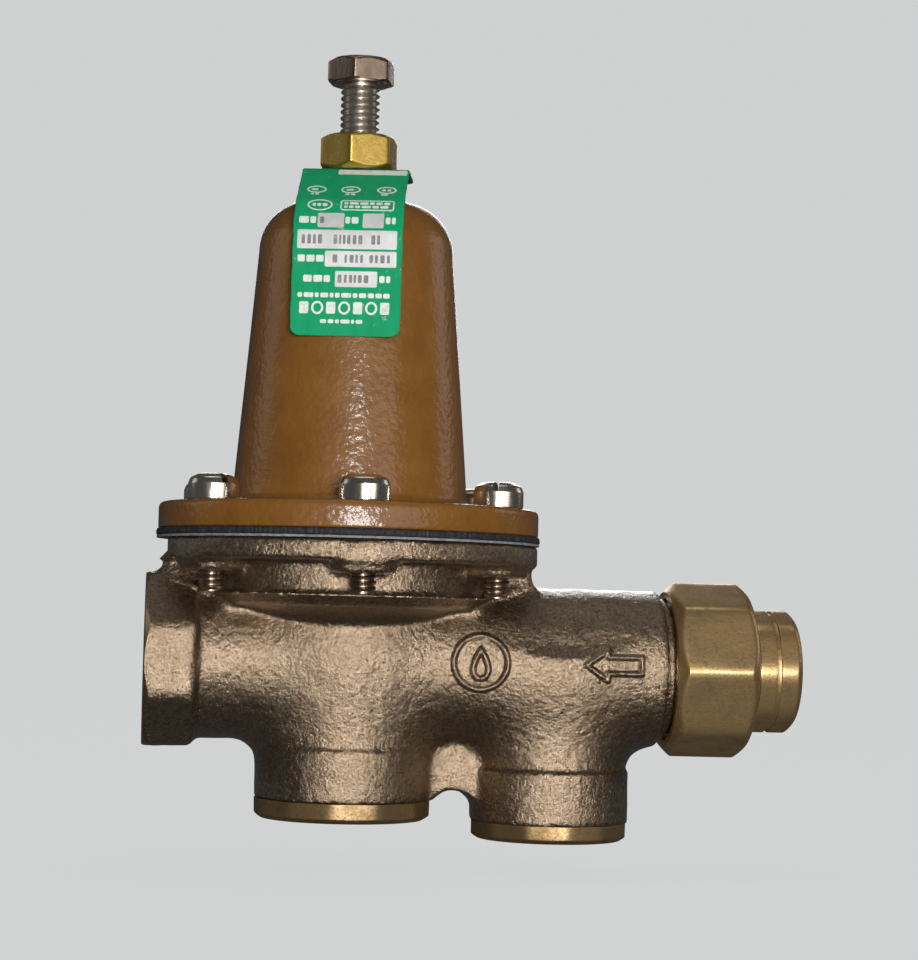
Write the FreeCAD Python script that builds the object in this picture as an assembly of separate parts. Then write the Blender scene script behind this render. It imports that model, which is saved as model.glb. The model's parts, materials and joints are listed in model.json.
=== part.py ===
"""Pressure reducing valve for a half-inch water pipe, as the separate pieces that it comes apart into.

Frame: millimetres. The origin is the centre of the outlet's end face. The pipe line runs along X, from the
outlet at x = 0 to the inlet union at +X. +Z is up, along the stem, to the adjusting screw. -Y is the front.
Threads are plain cylinders at their major size, with a small clearance.
"""

import FreeCAD, Part
import math
import os

Vector = FreeCAD.Vector
UP = Vector(0, 0, 1)

# Where the main axes stand
STEM_X = 47.5                       # the stem's vertical axis
STRAINER_X = STEM_X + 49.7          # the strainer's vertical axis
SLIP = 0.05                         # radial clearance of a piece that turns or slides

# Pipe threads and waterways
PORT_RADIUS = 10.4                  # mean major radius of a half-inch taper pipe thread
PORT_DEPTH = 16.0
WATERWAY_RADIUS = 8.0
PASSAGE_RADIUS = 4.5                # from the strainer to the space under the seat
PASSAGE_Z = -13.0

# Casting
OCTAGON_FLATS = 40.2
OCTAGON_LENGTH = 12.0
OUTLET_PIPE_RADIUS = 18.4
INLET_PIPE_RADIUS = 18.7
MAIN_RADIUS = 20.2
MAIN_COLLAR_RADIUS = 20.7
MAIN_COLLAR_TOP = -19.9
MAIN_COLLAR_BOTTOM = -32.0
STRAINER_RADIUS = 17.9
STRAINER_COLLAR_RADIUS = 18.8
STRAINER_COLLAR_TOP = -24.3
STRAINER_COLLAR_BOTTOM = -36.6
WEB_HALF_THICKNESS = 6.5
ARCH_RADIUS = 5.2
ARCH_TOP = -29.5

# Diaphragm flange and bowl
FLANGE_RADIUS = 45.0
FLANGE_BOTTOM = 23.5
FLANGE_TOP = 28.4
BOWL_RADIUS = 33.0
BOWL_BOTTOM = 13.2
CHAMBER_RADIUS = 30.0
CHAMBER_FLOOR = 17.5
BOSS_RADIUS = 7.4
BOSS_BOTTOM = 20.6
RIB_HALF_WIDTH = 9.0                # of the rib between flange and pipe, each side of the bowl
RIB_REACH = 43.5

# Flange screws
SCREW_COUNT = 6
SCREW_CIRCLE = 38.1
SCREW_RADIUS = 3.17
SCREW_TIP = 16.0
SCREW_HEAD_RADIUS = 5.85
SCREW_HEAD_HEIGHT = 6.0

# Diaphragm
GASKET_THICKNESS = 0.5
DIAPHRAGM_BOTTOM = FLANGE_TOP + GASKET_THICKNESS
DIAPHRAGM_THICKNESS = 1.7
DIAPHRAGM_TOP = DIAPHRAGM_BOTTOM + DIAPHRAGM_THICKNESS
DIAPHRAGM_RADIUS = 45.7

# Spring cage
CAGE_FLANGE_RADIUS = 45.2
CAGE_FLANGE_TOP = 36.9
CAGE_FOOT_RADIUS = 28.0
CAGE_SHOULDER_RADIUS = 23.2
CAGE_SHOULDER_ROUND = 12.0
CAGE_SHOULDER_Z = 97.5
CAGE_TOP = CAGE_SHOULDER_Z + CAGE_SHOULDER_ROUND
CAGE_BOSS_RADIUS = 8.5
CAGE_BOSS_TOP_RADIUS = 5.7
CAGE_BOSS_TOP = 116.4
CAGE_WALL = 3.2
CAGE_CEILING = 104.5

# Adjusting screw and lock nut
BOLT_RADIUS = 4.76
BOLT_FLATS = 14.3
BOLT_HEAD_BOTTOM = 138.3
BOLT_HEAD_HEIGHT = 6.0
BOLT_TIP = 94.0
LOCK_NUT_FLATS = 16.7
LOCK_NUT_BOTTOM = 117.0
LOCK_NUT_TOP = 125.6
HEX_TURN = -16.0                    # how far a corner of head and lock nut stands round from the front

# Spring and what it bears on
SPRING_MEAN_RADIUS = 13.75
SPRING_WIRE = 3.5
SPRING_TURNS = 7.5
PLATE_TOP = DIAPHRAGM_TOP + 2.4
BUTTON_BOTTOM = 91.0

# Stem
STEM_RADIUS = 3.0
STEM_THREAD_RADIUS = 4.0
LIFT = 2.0                          # seat to disc, with the valve open
SEAT_LIP_Z = -12.0
DISC_TOP = SEAT_LIP_Z - LIFT

# Bottom plugs
PLUG_SIDES = 12
MAIN_PLUG_FLATS = 41.0
MAIN_PLUG_BOTTOM = -36.7
MAIN_THREAD_RADIUS = 16.5
STRAINER_PLUG_FLATS = 36.8
STRAINER_PLUG_BOTTOM = -40.9
STRAINER_THREAD_RADIUS = 14.3

# Union, measured along the pipe from the outlet face
BODY_CHAMFER_X = STEM_X + 74.7
UNION_THREAD_RADIUS = 17.0
UNION_THREAD_END = STEM_X + 87.0
TAIL_FLANGE_START = UNION_THREAD_END + 1.5
TAIL_FLANGE_RADIUS = 16.4
TAIL_END = STEM_X + 108.2
TAIL_FLATS = 28.4
TAIL_CORNER_RADIUS = 14.75
NUT_START = STEM_X + 76.9
NUT_END = STEM_X + 96.8
NUT_FLATS = 39.2
NUT_BORE_RADIUS = 14.95

# Tag, clamped between the cage's boss and the lock nut
TAG_WIDTH = 25.4
TAG_THICKNESS = LOCK_NUT_BOTTOM - CAGE_BOSS_TOP
TAG_BACK = 11.0
TAG_FOLD = 6.5                      # from the stem's axis to the fold
TAG_FOLD_ROUND = 2.5
TAG_BOTTOM_Z = 75.0
TAG_GAP = 0.35                      # between the tag and the cage
TAG_HOLE_RADIUS = BOLT_RADIUS + 0.4
TAG_CORNER_ROUND = 2.2
TAG_TURN = -10.0                    # how far it hangs round from the front


def upright(x, low, high, radius):
    """A cylinder on the vertical axis through (x, 0)."""
    return Part.makeCylinder(radius, high - low, Vector(x, 0, low))


def along_pipe(start, end, radius, z=0.0):
    """A cylinder along X."""
    return Part.makeCylinder(radius, end - start, Vector(start, 0, z), Vector(1, 0, 0))


def block(x_low, x_high, y_half, z_low, z_high):
    """A box centred on the front-to-back plane."""
    return Part.makeBox(x_high - x_low, 2 * y_half, z_high - z_low, Vector(x_low, -y_half, z_low))


def face_of(outline):
    """A face in the XZ plane. A step is a point, or a pair: a point that an arc passes and the arc's end."""
    edges = []
    at = outline[0]
    for step in outline[1:] + [outline[0]]:
        curved = isinstance(step[0], tuple)
        end = step[1] if curved else step
        here, there = Vector(at[0], 0, at[1]), Vector(end[0], 0, end[1])
        if curved:
            edges.append(Part.Arc(here, Vector(step[0][0], 0, step[0][1]), there).toShape())
        elif here.distanceToPoint(there) > 1e-6:
            edges.append(Part.LineSegment(here, there).toShape())
        at = end
    return Part.Face(Part.Wire(edges))


def turned(outline, x=STEM_X):
    """An outline of (radius, height) turned about the vertical axis through (x, 0)."""
    solid = face_of(outline).revolve(Vector(0, 0, 0), UP, 360)
    solid.translate(Vector(x, 0, 0))
    return solid


def turned_on_pipe(outline):
    """An outline of (radius, x) turned about the pipe line."""
    solid = face_of(outline).revolve(Vector(0, 0, 0), UP, 360)
    solid.rotate(Vector(0, 0, 0), Vector(0, 1, 0), 90)
    return solid


def corner_points(sides, across_flats, corner_angle):
    """A polygon's corners round Z, the first one corner_angle degrees from -Y towards +X."""
    radius = across_flats / 2 / math.cos(math.pi / sides)
    angles = [math.radians(corner_angle + 360 * k / sides) for k in range(sides)]
    return [Vector(radius * math.sin(a), -radius * math.cos(a), 0) for a in angles]


def prism(sides, across_flats, x, low, high, corner_angle=0.0):
    """A vertical prism on the axis through (x, 0)."""
    points = corner_points(sides, across_flats, corner_angle)
    solid = Part.Face(Part.makePolygon(points + points[:1])).extrude(Vector(0, 0, high - low))
    solid.translate(Vector(x, 0, low))
    return solid


def prism_on_pipe(sides, across_flats, start, end):
    """A prism along X with one flat facing the front."""
    solid = prism(sides, across_flats, 0, start, end, 180 / sides)
    solid.rotate(Vector(0, 0, 0), Vector(0, 1, 0), 90)
    return solid


def screw_places():
    """The axes of the flange screws, the first one at the front."""
    angles = [2 * math.pi * k / SCREW_COUNT for k in range(SCREW_COUNT)]
    return [(STEM_X + SCREW_CIRCLE * math.sin(a), -SCREW_CIRCLE * math.cos(a)) for a in angles]


def screw_holes(low, high, radius):
    """Six cylinders on the screws' axes."""
    return [Part.makeCylinder(radius, high - low, Vector(x, y, low)) for x, y in screw_places()]


def fused(shapes):
    whole = shapes[0].multiFuse(shapes[1:])
    return whole.removeSplitter()


def body_outside():
    """The casting's outside: octagon, pipes, two lower cylinders with a web between, bowl and flange."""
    octagon = prism_on_pipe(8, OCTAGON_FLATS, 0, OCTAGON_LENGTH)
    faced = turned_on_pipe([(0, 0), (OCTAGON_FLATS / 2 + 0.2, 0), (OCTAGON_FLATS / 2 + 2, 1.2),
                            (OCTAGON_FLATS / 2 + 2, OCTAGON_LENGTH), (0, OCTAGON_LENGTH)])
    inlet = turned_on_pipe([(0, STEM_X), (INLET_PIPE_RADIUS, STEM_X), (INLET_PIPE_RADIUS, BODY_CHAMFER_X),
                            (UNION_THREAD_RADIUS, BODY_CHAMFER_X + 1.7),
                            (UNION_THREAD_RADIUS, UNION_THREAD_END), (0, UNION_THREAD_END)])
    bowl = turned([(0, BOWL_BOTTOM - 2), (24, BOWL_BOTTOM - 2), (BOWL_RADIUS - 2, BOWL_BOTTOM),
                   ((BOWL_RADIUS - 0.6, BOWL_BOTTOM + 0.7), (BOWL_RADIUS, BOWL_BOTTOM + 2.2)),
                   (BOWL_RADIUS, FLANGE_BOTTOM), (FLANGE_RADIUS, FLANGE_BOTTOM),
                   (FLANGE_RADIUS, FLANGE_TOP), (0, FLANGE_TOP)])
    arch_x = (STEM_X + MAIN_COLLAR_RADIUS + STRAINER_X - STRAINER_COLLAR_RADIUS) / 2
    web = block(STEM_X + 10, STRAINER_X - 10, WEB_HALF_THICKNESS, MAIN_COLLAR_BOTTOM, 0)
    arch = Part.makeCylinder(ARCH_RADIUS, 4 * WEB_HALF_THICKNESS,
                             Vector(arch_x, -2 * WEB_HALF_THICKNESS, ARCH_TOP - ARCH_RADIUS), Vector(0, 1, 0))
    return fused([
        octagon.common(faced),
        along_pipe(OCTAGON_LENGTH, STEM_X, OUTLET_PIPE_RADIUS),
        inlet,
        upright(STEM_X, MAIN_COLLAR_TOP, BOWL_BOTTOM, MAIN_RADIUS),
        upright(STEM_X, MAIN_COLLAR_BOTTOM, MAIN_COLLAR_TOP, MAIN_COLLAR_RADIUS),
        upright(STRAINER_X, STRAINER_COLLAR_TOP, 0, STRAINER_RADIUS),
        upright(STRAINER_X, STRAINER_COLLAR_BOTTOM, STRAINER_COLLAR_TOP, STRAINER_COLLAR_RADIUS),
        bowl,
        web.cut(arch),
        block(STEM_X - RIB_REACH, STEM_X + RIB_REACH, RIB_HALF_WIDTH, BOWL_BOTTOM, FLANGE_BOTTOM + 1),
    ] + screw_bosses())


def screw_bosses():
    """The pads under the flange round the screws, no wider than the flange."""
    within = upright(STEM_X, BOSS_BOTTOM - 1, FLANGE_TOP, FLANGE_RADIUS - 0.3)
    return [pad.common(within) for pad in screw_holes(BOSS_BOTTOM, FLANGE_BOTTOM + 1, BOSS_RADIUS)]


def raised_marks():
    """Cast marks on the inlet pipe's front: a disc with a water drop, and the arrow of the flow."""
    low, depth = -INLET_PIPE_RADIUS + 1.2, 1.6
    disc_x, arrow_tip, arrow_tail = STEM_X + 29.9, STEM_X + 54.5, STEM_X + 68.3
    disc = Part.makeCylinder(6.8, depth, Vector(disc_x, low, 1), Vector(0, -1, 0))
    head, half_head, half_shaft = arrow_tip + 5.4, 3.9, 2.3
    outline = [(arrow_tip, 1), (head, 1 + half_head), (head, 1 + half_shaft), (arrow_tail, 1 + half_shaft),
               (arrow_tail, 1 - half_shaft), (head, 1 - half_shaft), (head, 1 - half_head)]
    arrow = face_of(outline).extrude(Vector(0, -depth, 0))
    arrow.translate(Vector(0, low, 0))
    return [disc, arrow]


def body_hollows():
    """The waterways, chambers and threaded holes of the casting."""
    return [
        upright(STEM_X, CHAMBER_FLOOR, FLANGE_TOP + 1, CHAMBER_RADIUS),
        upright(STEM_X, 12, CHAMBER_FLOOR + 1, 11),
        upright(STEM_X, -4, 12, 13),
        along_pipe(-1, PORT_DEPTH, PORT_RADIUS),
        along_pipe(PORT_DEPTH, STEM_X, WATERWAY_RADIUS),
        upright(STEM_X, -9, -4, 8),
        upright(STEM_X, -25, -9, 15),
        upright(STEM_X, MAIN_COLLAR_BOTTOM - 1, -25, MAIN_THREAD_RADIUS + SLIP),
        along_pipe(STRAINER_X, UNION_THREAD_END + 1, WATERWAY_RADIUS),
        upright(STRAINER_X, -8.5, 0, WATERWAY_RADIUS),
        Part.makeSphere(WATERWAY_RADIUS, Vector(STRAINER_X, 0, 0)),
        upright(STRAINER_X, -29, -8.5, 13.5),
        upright(STRAINER_X, STRAINER_COLLAR_BOTTOM - 1, -29, STRAINER_THREAD_RADIUS + SLIP),
        along_pipe(STEM_X + 10, STRAINER_X - 11, PASSAGE_RADIUS, PASSAGE_Z),
    ] + screw_holes(BOSS_BOTTOM - 6, FLANGE_TOP + 1, SCREW_RADIUS + 0.03)


def valve_body():
    return fused([body_outside()] + raised_marks()).cut(body_hollows())


def spring_cage():
    """The tapered cage over the spring, with its flange, threaded boss and vent hole."""
    turn = CAGE_SHOULDER_ROUND * math.sqrt(0.5)
    top_radius = CAGE_SHOULDER_RADIUS - CAGE_SHOULDER_ROUND
    outside = turned([
        (0, DIAPHRAGM_TOP), (CAGE_FLANGE_RADIUS, DIAPHRAGM_TOP), (CAGE_FLANGE_RADIUS, CAGE_FLANGE_TOP - 1.5),
        ((CAGE_FLANGE_RADIUS - 0.44, CAGE_FLANGE_TOP - 0.44), (CAGE_FLANGE_RADIUS - 1.5, CAGE_FLANGE_TOP)),
        (CAGE_FOOT_RADIUS + 1.6, CAGE_FLANGE_TOP),
        ((CAGE_FOOT_RADIUS + 0.45, CAGE_FLANGE_TOP + 0.5), (CAGE_FOOT_RADIUS - 0.1, CAGE_FLANGE_TOP + 1.7)),
        (CAGE_SHOULDER_RADIUS, CAGE_SHOULDER_Z),
        ((top_radius + turn, CAGE_SHOULDER_Z + turn), (top_radius, CAGE_TOP)),
        (CAGE_BOSS_RADIUS, CAGE_TOP), (CAGE_BOSS_RADIUS, CAGE_BOSS_TOP - 2.4),
        (CAGE_BOSS_TOP_RADIUS, CAGE_BOSS_TOP), (0, CAGE_BOSS_TOP)])
    inside = turned([
        (0, DIAPHRAGM_TOP), (CAGE_FOOT_RADIUS - CAGE_WALL, DIAPHRAGM_TOP),
        (CAGE_SHOULDER_RADIUS - CAGE_WALL, CAGE_SHOULDER_Z - 1), (14, CAGE_CEILING), (0, CAGE_CEILING)])
    screw_hole = upright(STEM_X, CAGE_CEILING - 1, CAGE_BOSS_TOP + 1, BOLT_RADIUS + SLIP)
    vent = Part.makeCylinder(1.6, 2 * CAGE_FOOT_RADIUS, Vector(STEM_X, 0, 48), Vector(0, 1, 0))
    return outside.cut([inside, screw_hole, vent] + screw_holes(DIAPHRAGM_TOP - 1, CAGE_FLANGE_TOP + 1, 3.5))


def cage_screws():
    """Six pan-head screws with a slot, each turned to its own angle."""
    top, seat = CAGE_FLANGE_TOP + SCREW_HEAD_HEIGHT, CAGE_FLANGE_TOP
    screws = []
    for number, (x, y) in enumerate(screw_places()):
        screw = turned([
            (0, SCREW_TIP), (SCREW_RADIUS - 1.2, SCREW_TIP),
            ((SCREW_RADIUS - 0.3, SCREW_TIP + 0.5), (SCREW_RADIUS, SCREW_TIP + 1.4)),
            (SCREW_RADIUS, seat), (SCREW_HEAD_RADIUS, seat), (SCREW_HEAD_RADIUS, seat + 3.9),
            ((SCREW_HEAD_RADIUS - 0.65, seat + 5.35), (SCREW_HEAD_RADIUS - 2.3, top)), (0, top)], 0)
        slot = Part.makeBox(4 * SCREW_HEAD_RADIUS, 1.4, 3, Vector(-2 * SCREW_HEAD_RADIUS, -0.7, top - 2.2))
        screw = screw.cut(slot)
        screw.rotate(Vector(0, 0, 0), UP, 20 + 55 * number)
        screw.translate(Vector(x, y, 0))
        screws.append(screw)
    return Part.makeCompound(screws)


def diaphragm():
    disc = upright(STEM_X, DIAPHRAGM_BOTTOM, DIAPHRAGM_TOP, DIAPHRAGM_RADIUS)
    centre = upright(STEM_X, DIAPHRAGM_BOTTOM - 1, DIAPHRAGM_TOP + 1, STEM_THREAD_RADIUS + SLIP)
    return disc.cut([centre] + screw_holes(DIAPHRAGM_BOTTOM - 1, DIAPHRAGM_TOP + 1, 3.5))


def diaphragm_gasket():
    ring = upright(STEM_X, FLANGE_TOP, DIAPHRAGM_BOTTOM, FLANGE_RADIUS + 0.4)
    window = upright(STEM_X, FLANGE_TOP - 1, DIAPHRAGM_BOTTOM + 1, CHAMBER_RADIUS + 1)
    return ring.cut([window] + screw_holes(FLANGE_TOP - 1, DIAPHRAGM_BOTTOM + 1, 3.5))


def adjusting_screw():
    """Hex bolt with a washer face under its chamfered head and a rounded tip."""
    top = BOLT_HEAD_BOTTOM + BOLT_HEAD_HEIGHT
    corner = BOLT_FLATS / 2 / math.cos(math.pi / 6)
    head = prism(6, BOLT_FLATS, STEM_X, BOLT_HEAD_BOTTOM + 0.4, top, HEX_TURN).common(turned([
        (0, BOLT_HEAD_BOTTOM), (corner + 1, BOLT_HEAD_BOTTOM), (corner + 1, top - 1.1),
        (BOLT_FLATS / 2 - 0.4, top), (0, top)]))
    washer_face = upright(STEM_X, BOLT_HEAD_BOTTOM, BOLT_HEAD_BOTTOM + 1, BOLT_FLATS / 2 - 0.3)
    shank = turned([(0, BOLT_TIP), (2.4, BOLT_TIP), (BOLT_RADIUS, BOLT_TIP + 2),
                    (BOLT_RADIUS, BOLT_HEAD_BOTTOM + 1), (0, BOLT_HEAD_BOTTOM + 1)])
    return fused([head, washer_face, shank])


def lock_nut():
    low, high = LOCK_NUT_BOTTOM, LOCK_NUT_TOP
    corner = LOCK_NUT_FLATS / 2 / math.cos(math.pi / 6)
    blank = turned([(0, low), (LOCK_NUT_FLATS / 2 - 0.1, low), (corner, low + 0.8), (corner, high - 0.8),
                    (LOCK_NUT_FLATS / 2 - 0.1, high), (0, high)])
    bore = upright(STEM_X, low - 1, high + 1, BOLT_RADIUS + SLIP)
    return prism(6, LOCK_NUT_FLATS, STEM_X, low, high, HEX_TURN - 1.5).common(blank).cut(bore)


def cage_radius(z):
    """The cone's outer radius at a height."""
    foot_z = CAGE_FLANGE_TOP + 1.7
    share = (CAGE_SHOULDER_Z - z) / (CAGE_SHOULDER_Z - foot_z)
    return CAGE_SHOULDER_RADIUS + share * (CAGE_FOOT_RADIUS - 0.1 - CAGE_SHOULDER_RADIUS)


def tag_side(offset):
    """One face of the tag as a path of (outwards, z): flat, fold, slope, shoulder, down the cage."""
    centre_out, centre_z = CAGE_SHOULDER_RADIUS - CAGE_SHOULDER_ROUND, CAGE_SHOULDER_Z
    across, drop = centre_out - TAG_FOLD, CAGE_BOSS_TOP - centre_z
    reach = CAGE_SHOULDER_ROUND + TAG_GAP
    slope = math.atan2(drop, across) - math.asin(reach / math.hypot(across, drop))
    radius, bend = reach + offset, TAG_FOLD_ROUND + offset
    bend_out = TAG_FOLD - TAG_FOLD_ROUND * math.tan(slope / 2)
    bend_z = CAGE_BOSS_TOP - TAG_FOLD_ROUND

    def on_bend(angle):
        return bend_out + bend * math.sin(angle), bend_z + bend * math.cos(angle)

    def on_shoulder(angle):
        return centre_out + radius * math.sin(angle), centre_z + radius * math.cos(angle)

    end = math.pi / 2 - 0.08
    foot = cage_radius(TAG_BOTTOM_Z) + TAG_GAP + offset
    return [(-TAG_BACK, CAGE_BOSS_TOP + offset), on_bend(0), (on_bend(slope / 2), on_bend(slope)),
            on_shoulder(slope), (on_shoulder((slope + end) / 2), on_shoulder(end)), (foot, TAG_BOTTOM_Z)]


def tag_outline():
    """Both faces of the tag joined into one side outline."""
    inner, outer = tag_side(0), tag_side(TAG_THICKNESS)
    back = [outer[5], outer[4][1], (outer[4][0], outer[3]), outer[2][1], (outer[2][0], outer[1]), outer[0]]
    return inner + back


def name_tag():
    """A bent metal strip with rounded corners and a hole for the adjusting screw."""
    strip = face_of(tag_outline()).extrude(Vector(0, TAG_WIDTH, 0))
    strip.translate(Vector(0, -TAG_WIDTH / 2, 0))
    strip.rotate(Vector(0, 0, 0), UP, -90)
    corners = [e for e in strip.Edges if abs(abs(e.CenterOfMass.x) - TAG_WIDTH / 2) < 0.01 and e.Length < 1
               and (e.CenterOfMass.y > TAG_BACK - 0.01 or e.CenterOfMass.z < TAG_BOTTOM_Z + 0.01)]
    strip = strip.makeFillet(TAG_CORNER_ROUND, corners)
    strip = strip.cut(upright(0, CAGE_BOSS_TOP - 4, CAGE_BOSS_TOP + 4, TAG_HOLE_RADIUS))
    strip.rotate(Vector(0, 0, 0), UP, TAG_TURN)
    strip.translate(Vector(STEM_X, 0, 0))
    return strip


def spring_button():
    """The disc that the screw presses on, with a pilot inside the spring and a dimple for the screw's tip."""
    high = BUTTON_BOTTOM + 4
    pilot = SPRING_MEAN_RADIUS - SPRING_WIRE / 2 - 0.4
    body = turned([(0, BUTTON_BOTTOM - 3.5), (pilot - 1, BUTTON_BOTTOM - 3.5), (pilot, BUTTON_BOTTOM - 2.5),
                   (pilot, BUTTON_BOTTOM), (15, BUTTON_BOTTOM), (15, high - 1.5), (13, high), (0, high)])
    return body.cut(upright(STEM_X, BOLT_TIP, high + 1, BOLT_RADIUS + 0.3))


def adjusting_spring():
    """Compression spring with ground ends, from the diaphragm plate to the button."""
    low, high = PLATE_TOP, BUTTON_BOTTOM
    spare = SPRING_WIRE * 0.25
    height = high - low - 2 * spare
    helix = Part.makeHelix(height / SPRING_TURNS, height, SPRING_MEAN_RADIUS)
    section = Part.Wire(Part.makeCircle(SPRING_WIRE / 2, Vector(SPRING_MEAN_RADIUS, 0, 0), Vector(0, 1, 0)))
    coil = Part.Wire(helix.Edges).makePipeShell([section], True, True)
    coil.translate(Vector(STEM_X, 0, low + spare))
    room = upright(STEM_X, low, high, SPRING_MEAN_RADIUS + SPRING_WIRE)
    return coil.common(room)


def diaphragm_plate():
    """The plate over the diaphragm that carries the spring."""
    pilot = SPRING_MEAN_RADIUS - SPRING_WIRE / 2 - 0.4
    plate = turned([(0, DIAPHRAGM_TOP), (19, DIAPHRAGM_TOP),
                    ((19.7, DIAPHRAGM_TOP + 0.3), (20, DIAPHRAGM_TOP + 1)), (20, PLATE_TOP + 1),
                    (18.5, PLATE_TOP + 1), (18.5, PLATE_TOP), (pilot, PLATE_TOP),
                    (pilot - 0.8, PLATE_TOP + 3), (0, PLATE_TOP + 3)])
    return plate.cut(upright(STEM_X, DIAPHRAGM_TOP - 1, PLATE_TOP + 4, STEM_THREAD_RADIUS + SLIP))


def diaphragm_washer():
    """The washer under the diaphragm."""
    low = DIAPHRAGM_BOTTOM - 2.4
    washer = turned([(0, low), (13, low), (14, low + 1), (14, DIAPHRAGM_BOTTOM), (0, DIAPHRAGM_BOTTOM)])
    return washer.cut(upright(STEM_X, low - 1, DIAPHRAGM_BOTTOM + 1, STEM_THREAD_RADIUS + SLIP))


def diaphragm_nut():
    low = PLATE_TOP + 3
    nut = prism(6, 14, STEM_X, low, low + 5, 10).common(
        turned([(0, low), (8.2, low), (8.2, low + 4.4), (7, low + 5), (0, low + 5)]))
    return nut.cut(upright(STEM_X, low - 1, low + 6, STEM_THREAD_RADIUS + SLIP))


def valve_stem():
    """The stem, threaded at both ends, with a collar under the diaphragm and a pin in the bottom plug."""
    collar_top = DIAPHRAGM_BOTTOM - 2.4
    return turned([
        (0, -30.5), (2.1, -30.5), (2.5, -30.0), (2.5, -25),
        (STEM_RADIUS, -25), (STEM_RADIUS, collar_top - 2.5),
        (6, collar_top - 2.5), (6, collar_top), (STEM_THREAD_RADIUS, collar_top),
        (STEM_THREAD_RADIUS, PLATE_TOP + 9.2), (STEM_THREAD_RADIUS - 0.8, PLATE_TOP + 10),
        (0, PLATE_TOP + 10)])


def disc_holder():
    """The cup that holds the rubber disc under the seat."""
    low = DISC_TOP - 6.5
    cup = turned([(0, low), (8.3, low), (9.5, low + 1.2), (9.5, DISC_TOP - 0.5), (8.05, DISC_TOP - 0.5),
                  (8.05, DISC_TOP - 2.5), (0, DISC_TOP - 2.5)])
    return cup.cut(upright(STEM_X, low - 1, DISC_TOP, STEM_RADIUS + SLIP))


def seat_disc():
    return upright(STEM_X, DISC_TOP - 2.5, DISC_TOP, 8.0).cut(
        upright(STEM_X, DISC_TOP - 3, DISC_TOP + 1, STEM_RADIUS + SLIP))


def disc_nut():
    high = DISC_TOP - 6.5
    hexagon = prism(6, 10, STEM_X, high - 4, high, 5)
    return hexagon.cut(upright(STEM_X, high - 5, high + 1, STEM_RADIUS + SLIP))


def seat_ring():
    """The seat, screwed up into the bridge wall from below."""
    return turned([(5.6, SEAT_LIP_Z + 0.4), (6.0, SEAT_LIP_Z), (6.6, SEAT_LIP_Z), (7.2, SEAT_LIP_Z + 0.8),
                   (11, -11.2), (11, -9.4), (7.95, -9.4), (7.95, -4.5), (5.6, -4.5)])


def seat_gasket():
    return upright(STEM_X, -9.4, -9.0, 10.8).cut(upright(STEM_X, -10, -8, 8.2))


def stem_guide():
    """The bush that guides the stem, with four holes that let the outlet pressure through."""
    bush = turned([(STEM_RADIUS + SLIP, 10.5), (5.2, 10.5), (5.2, 12.6), (10.98, 12.6),
                   (10.98, CHAMBER_FLOOR), (5.2, CHAMBER_FLOOR), (5.2, 19), (STEM_RADIUS + SLIP, 19)])
    holes = [Part.makeCylinder(1.7, 8, Vector(STEM_X + 8 * math.cos(a), 8 * math.sin(a), 11))
             for a in [math.pi / 4 + math.pi / 2 * k for k in range(4)]]
    return bush.cut(holes)


def twelve_flat_flange(x, flats, low, high, corner_angle):
    """A plug's flange with twelve wrench flats and a chamfer below."""
    corner = flats / 2 / math.cos(math.pi / PLUG_SIDES)
    blank = turned([(0, low), (flats / 2 - 0.9, low), (corner + 0.05, low + 0.9),
                    (corner + 0.05, high), (0, high)], x)
    return prism(PLUG_SIDES, flats, x, low, high, corner_angle).common(blank)


def o_ring_groove(x, top, radius, section):
    """A square groove in a plug flange's upper face."""
    return upright(x, top - 2 * section - 0.1, top + 0.01, radius + section + 0.1).cut(
        upright(x, top - 3 * section, top + 1, radius - section - 0.1))


def bottom_plug():
    """The plug under the seat, with a cup and a guide for the stem's pin."""
    flange = twelve_flat_flange(STEM_X, MAIN_PLUG_FLATS, MAIN_PLUG_BOTTOM, MAIN_COLLAR_BOTTOM, -12)
    thread = turned([(0, MAIN_COLLAR_BOTTOM - 1), (MAIN_THREAD_RADIUS, MAIN_COLLAR_BOTTOM - 1),
                     (MAIN_THREAD_RADIUS, -26.2), (MAIN_THREAD_RADIUS - 1, -25.2), (13, -25.2), (13, -32),
                     (5.5, -32), (5.5, -27.5), (0, -27.5)])
    pin_hole = upright(STEM_X, -31.5, -27, 2.5 + SLIP)
    return fused([flange, thread]).cut([pin_hole, o_ring_groove(STEM_X, MAIN_COLLAR_BOTTOM, 18.3, 0.75)])


def strainer_plug():
    """The plug under the strainer, with a cup for the screen."""
    flange = twelve_flat_flange(STRAINER_X, STRAINER_PLUG_FLATS, STRAINER_PLUG_BOTTOM,
                                STRAINER_COLLAR_BOTTOM, 5.4)
    thread = turned([(0, STRAINER_COLLAR_BOTTOM - 1), (STRAINER_THREAD_RADIUS, STRAINER_COLLAR_BOTTOM - 1),
                     (STRAINER_THREAD_RADIUS, -30.6), (STRAINER_THREAD_RADIUS - 1, -29.6), (10.6, -29.6),
                     (10.6, -35), (0, -35)], STRAINER_X)
    return fused([flange, thread]).cut(o_ring_groove(STRAINER_X, STRAINER_COLLAR_BOTTOM, 16.1, 0.7))


def strainer_screen():
    """The screen's cylinder, with a solid band at each end."""
    low, high, mesh_radius = -34.9, -8.7, 9.9
    inside = upright(STRAINER_X, low - 1, high + 1, mesh_radius - 0.4)

    def tube(bottom, top, outer):
        return upright(STRAINER_X, bottom, top, outer).cut(inside)

    return fused([tube(low, high, mesh_radius), tube(low, low + 2.5, mesh_radius + 0.35),
                  tube(high - 2.5, high, mesh_radius + 0.35)])


def union_gasket():
    return along_pipe(UNION_THREAD_END, TAIL_FLANGE_START, 16.2).cut(
        along_pipe(UNION_THREAD_END - 1, TAIL_FLANGE_START + 1, 10))


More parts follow.
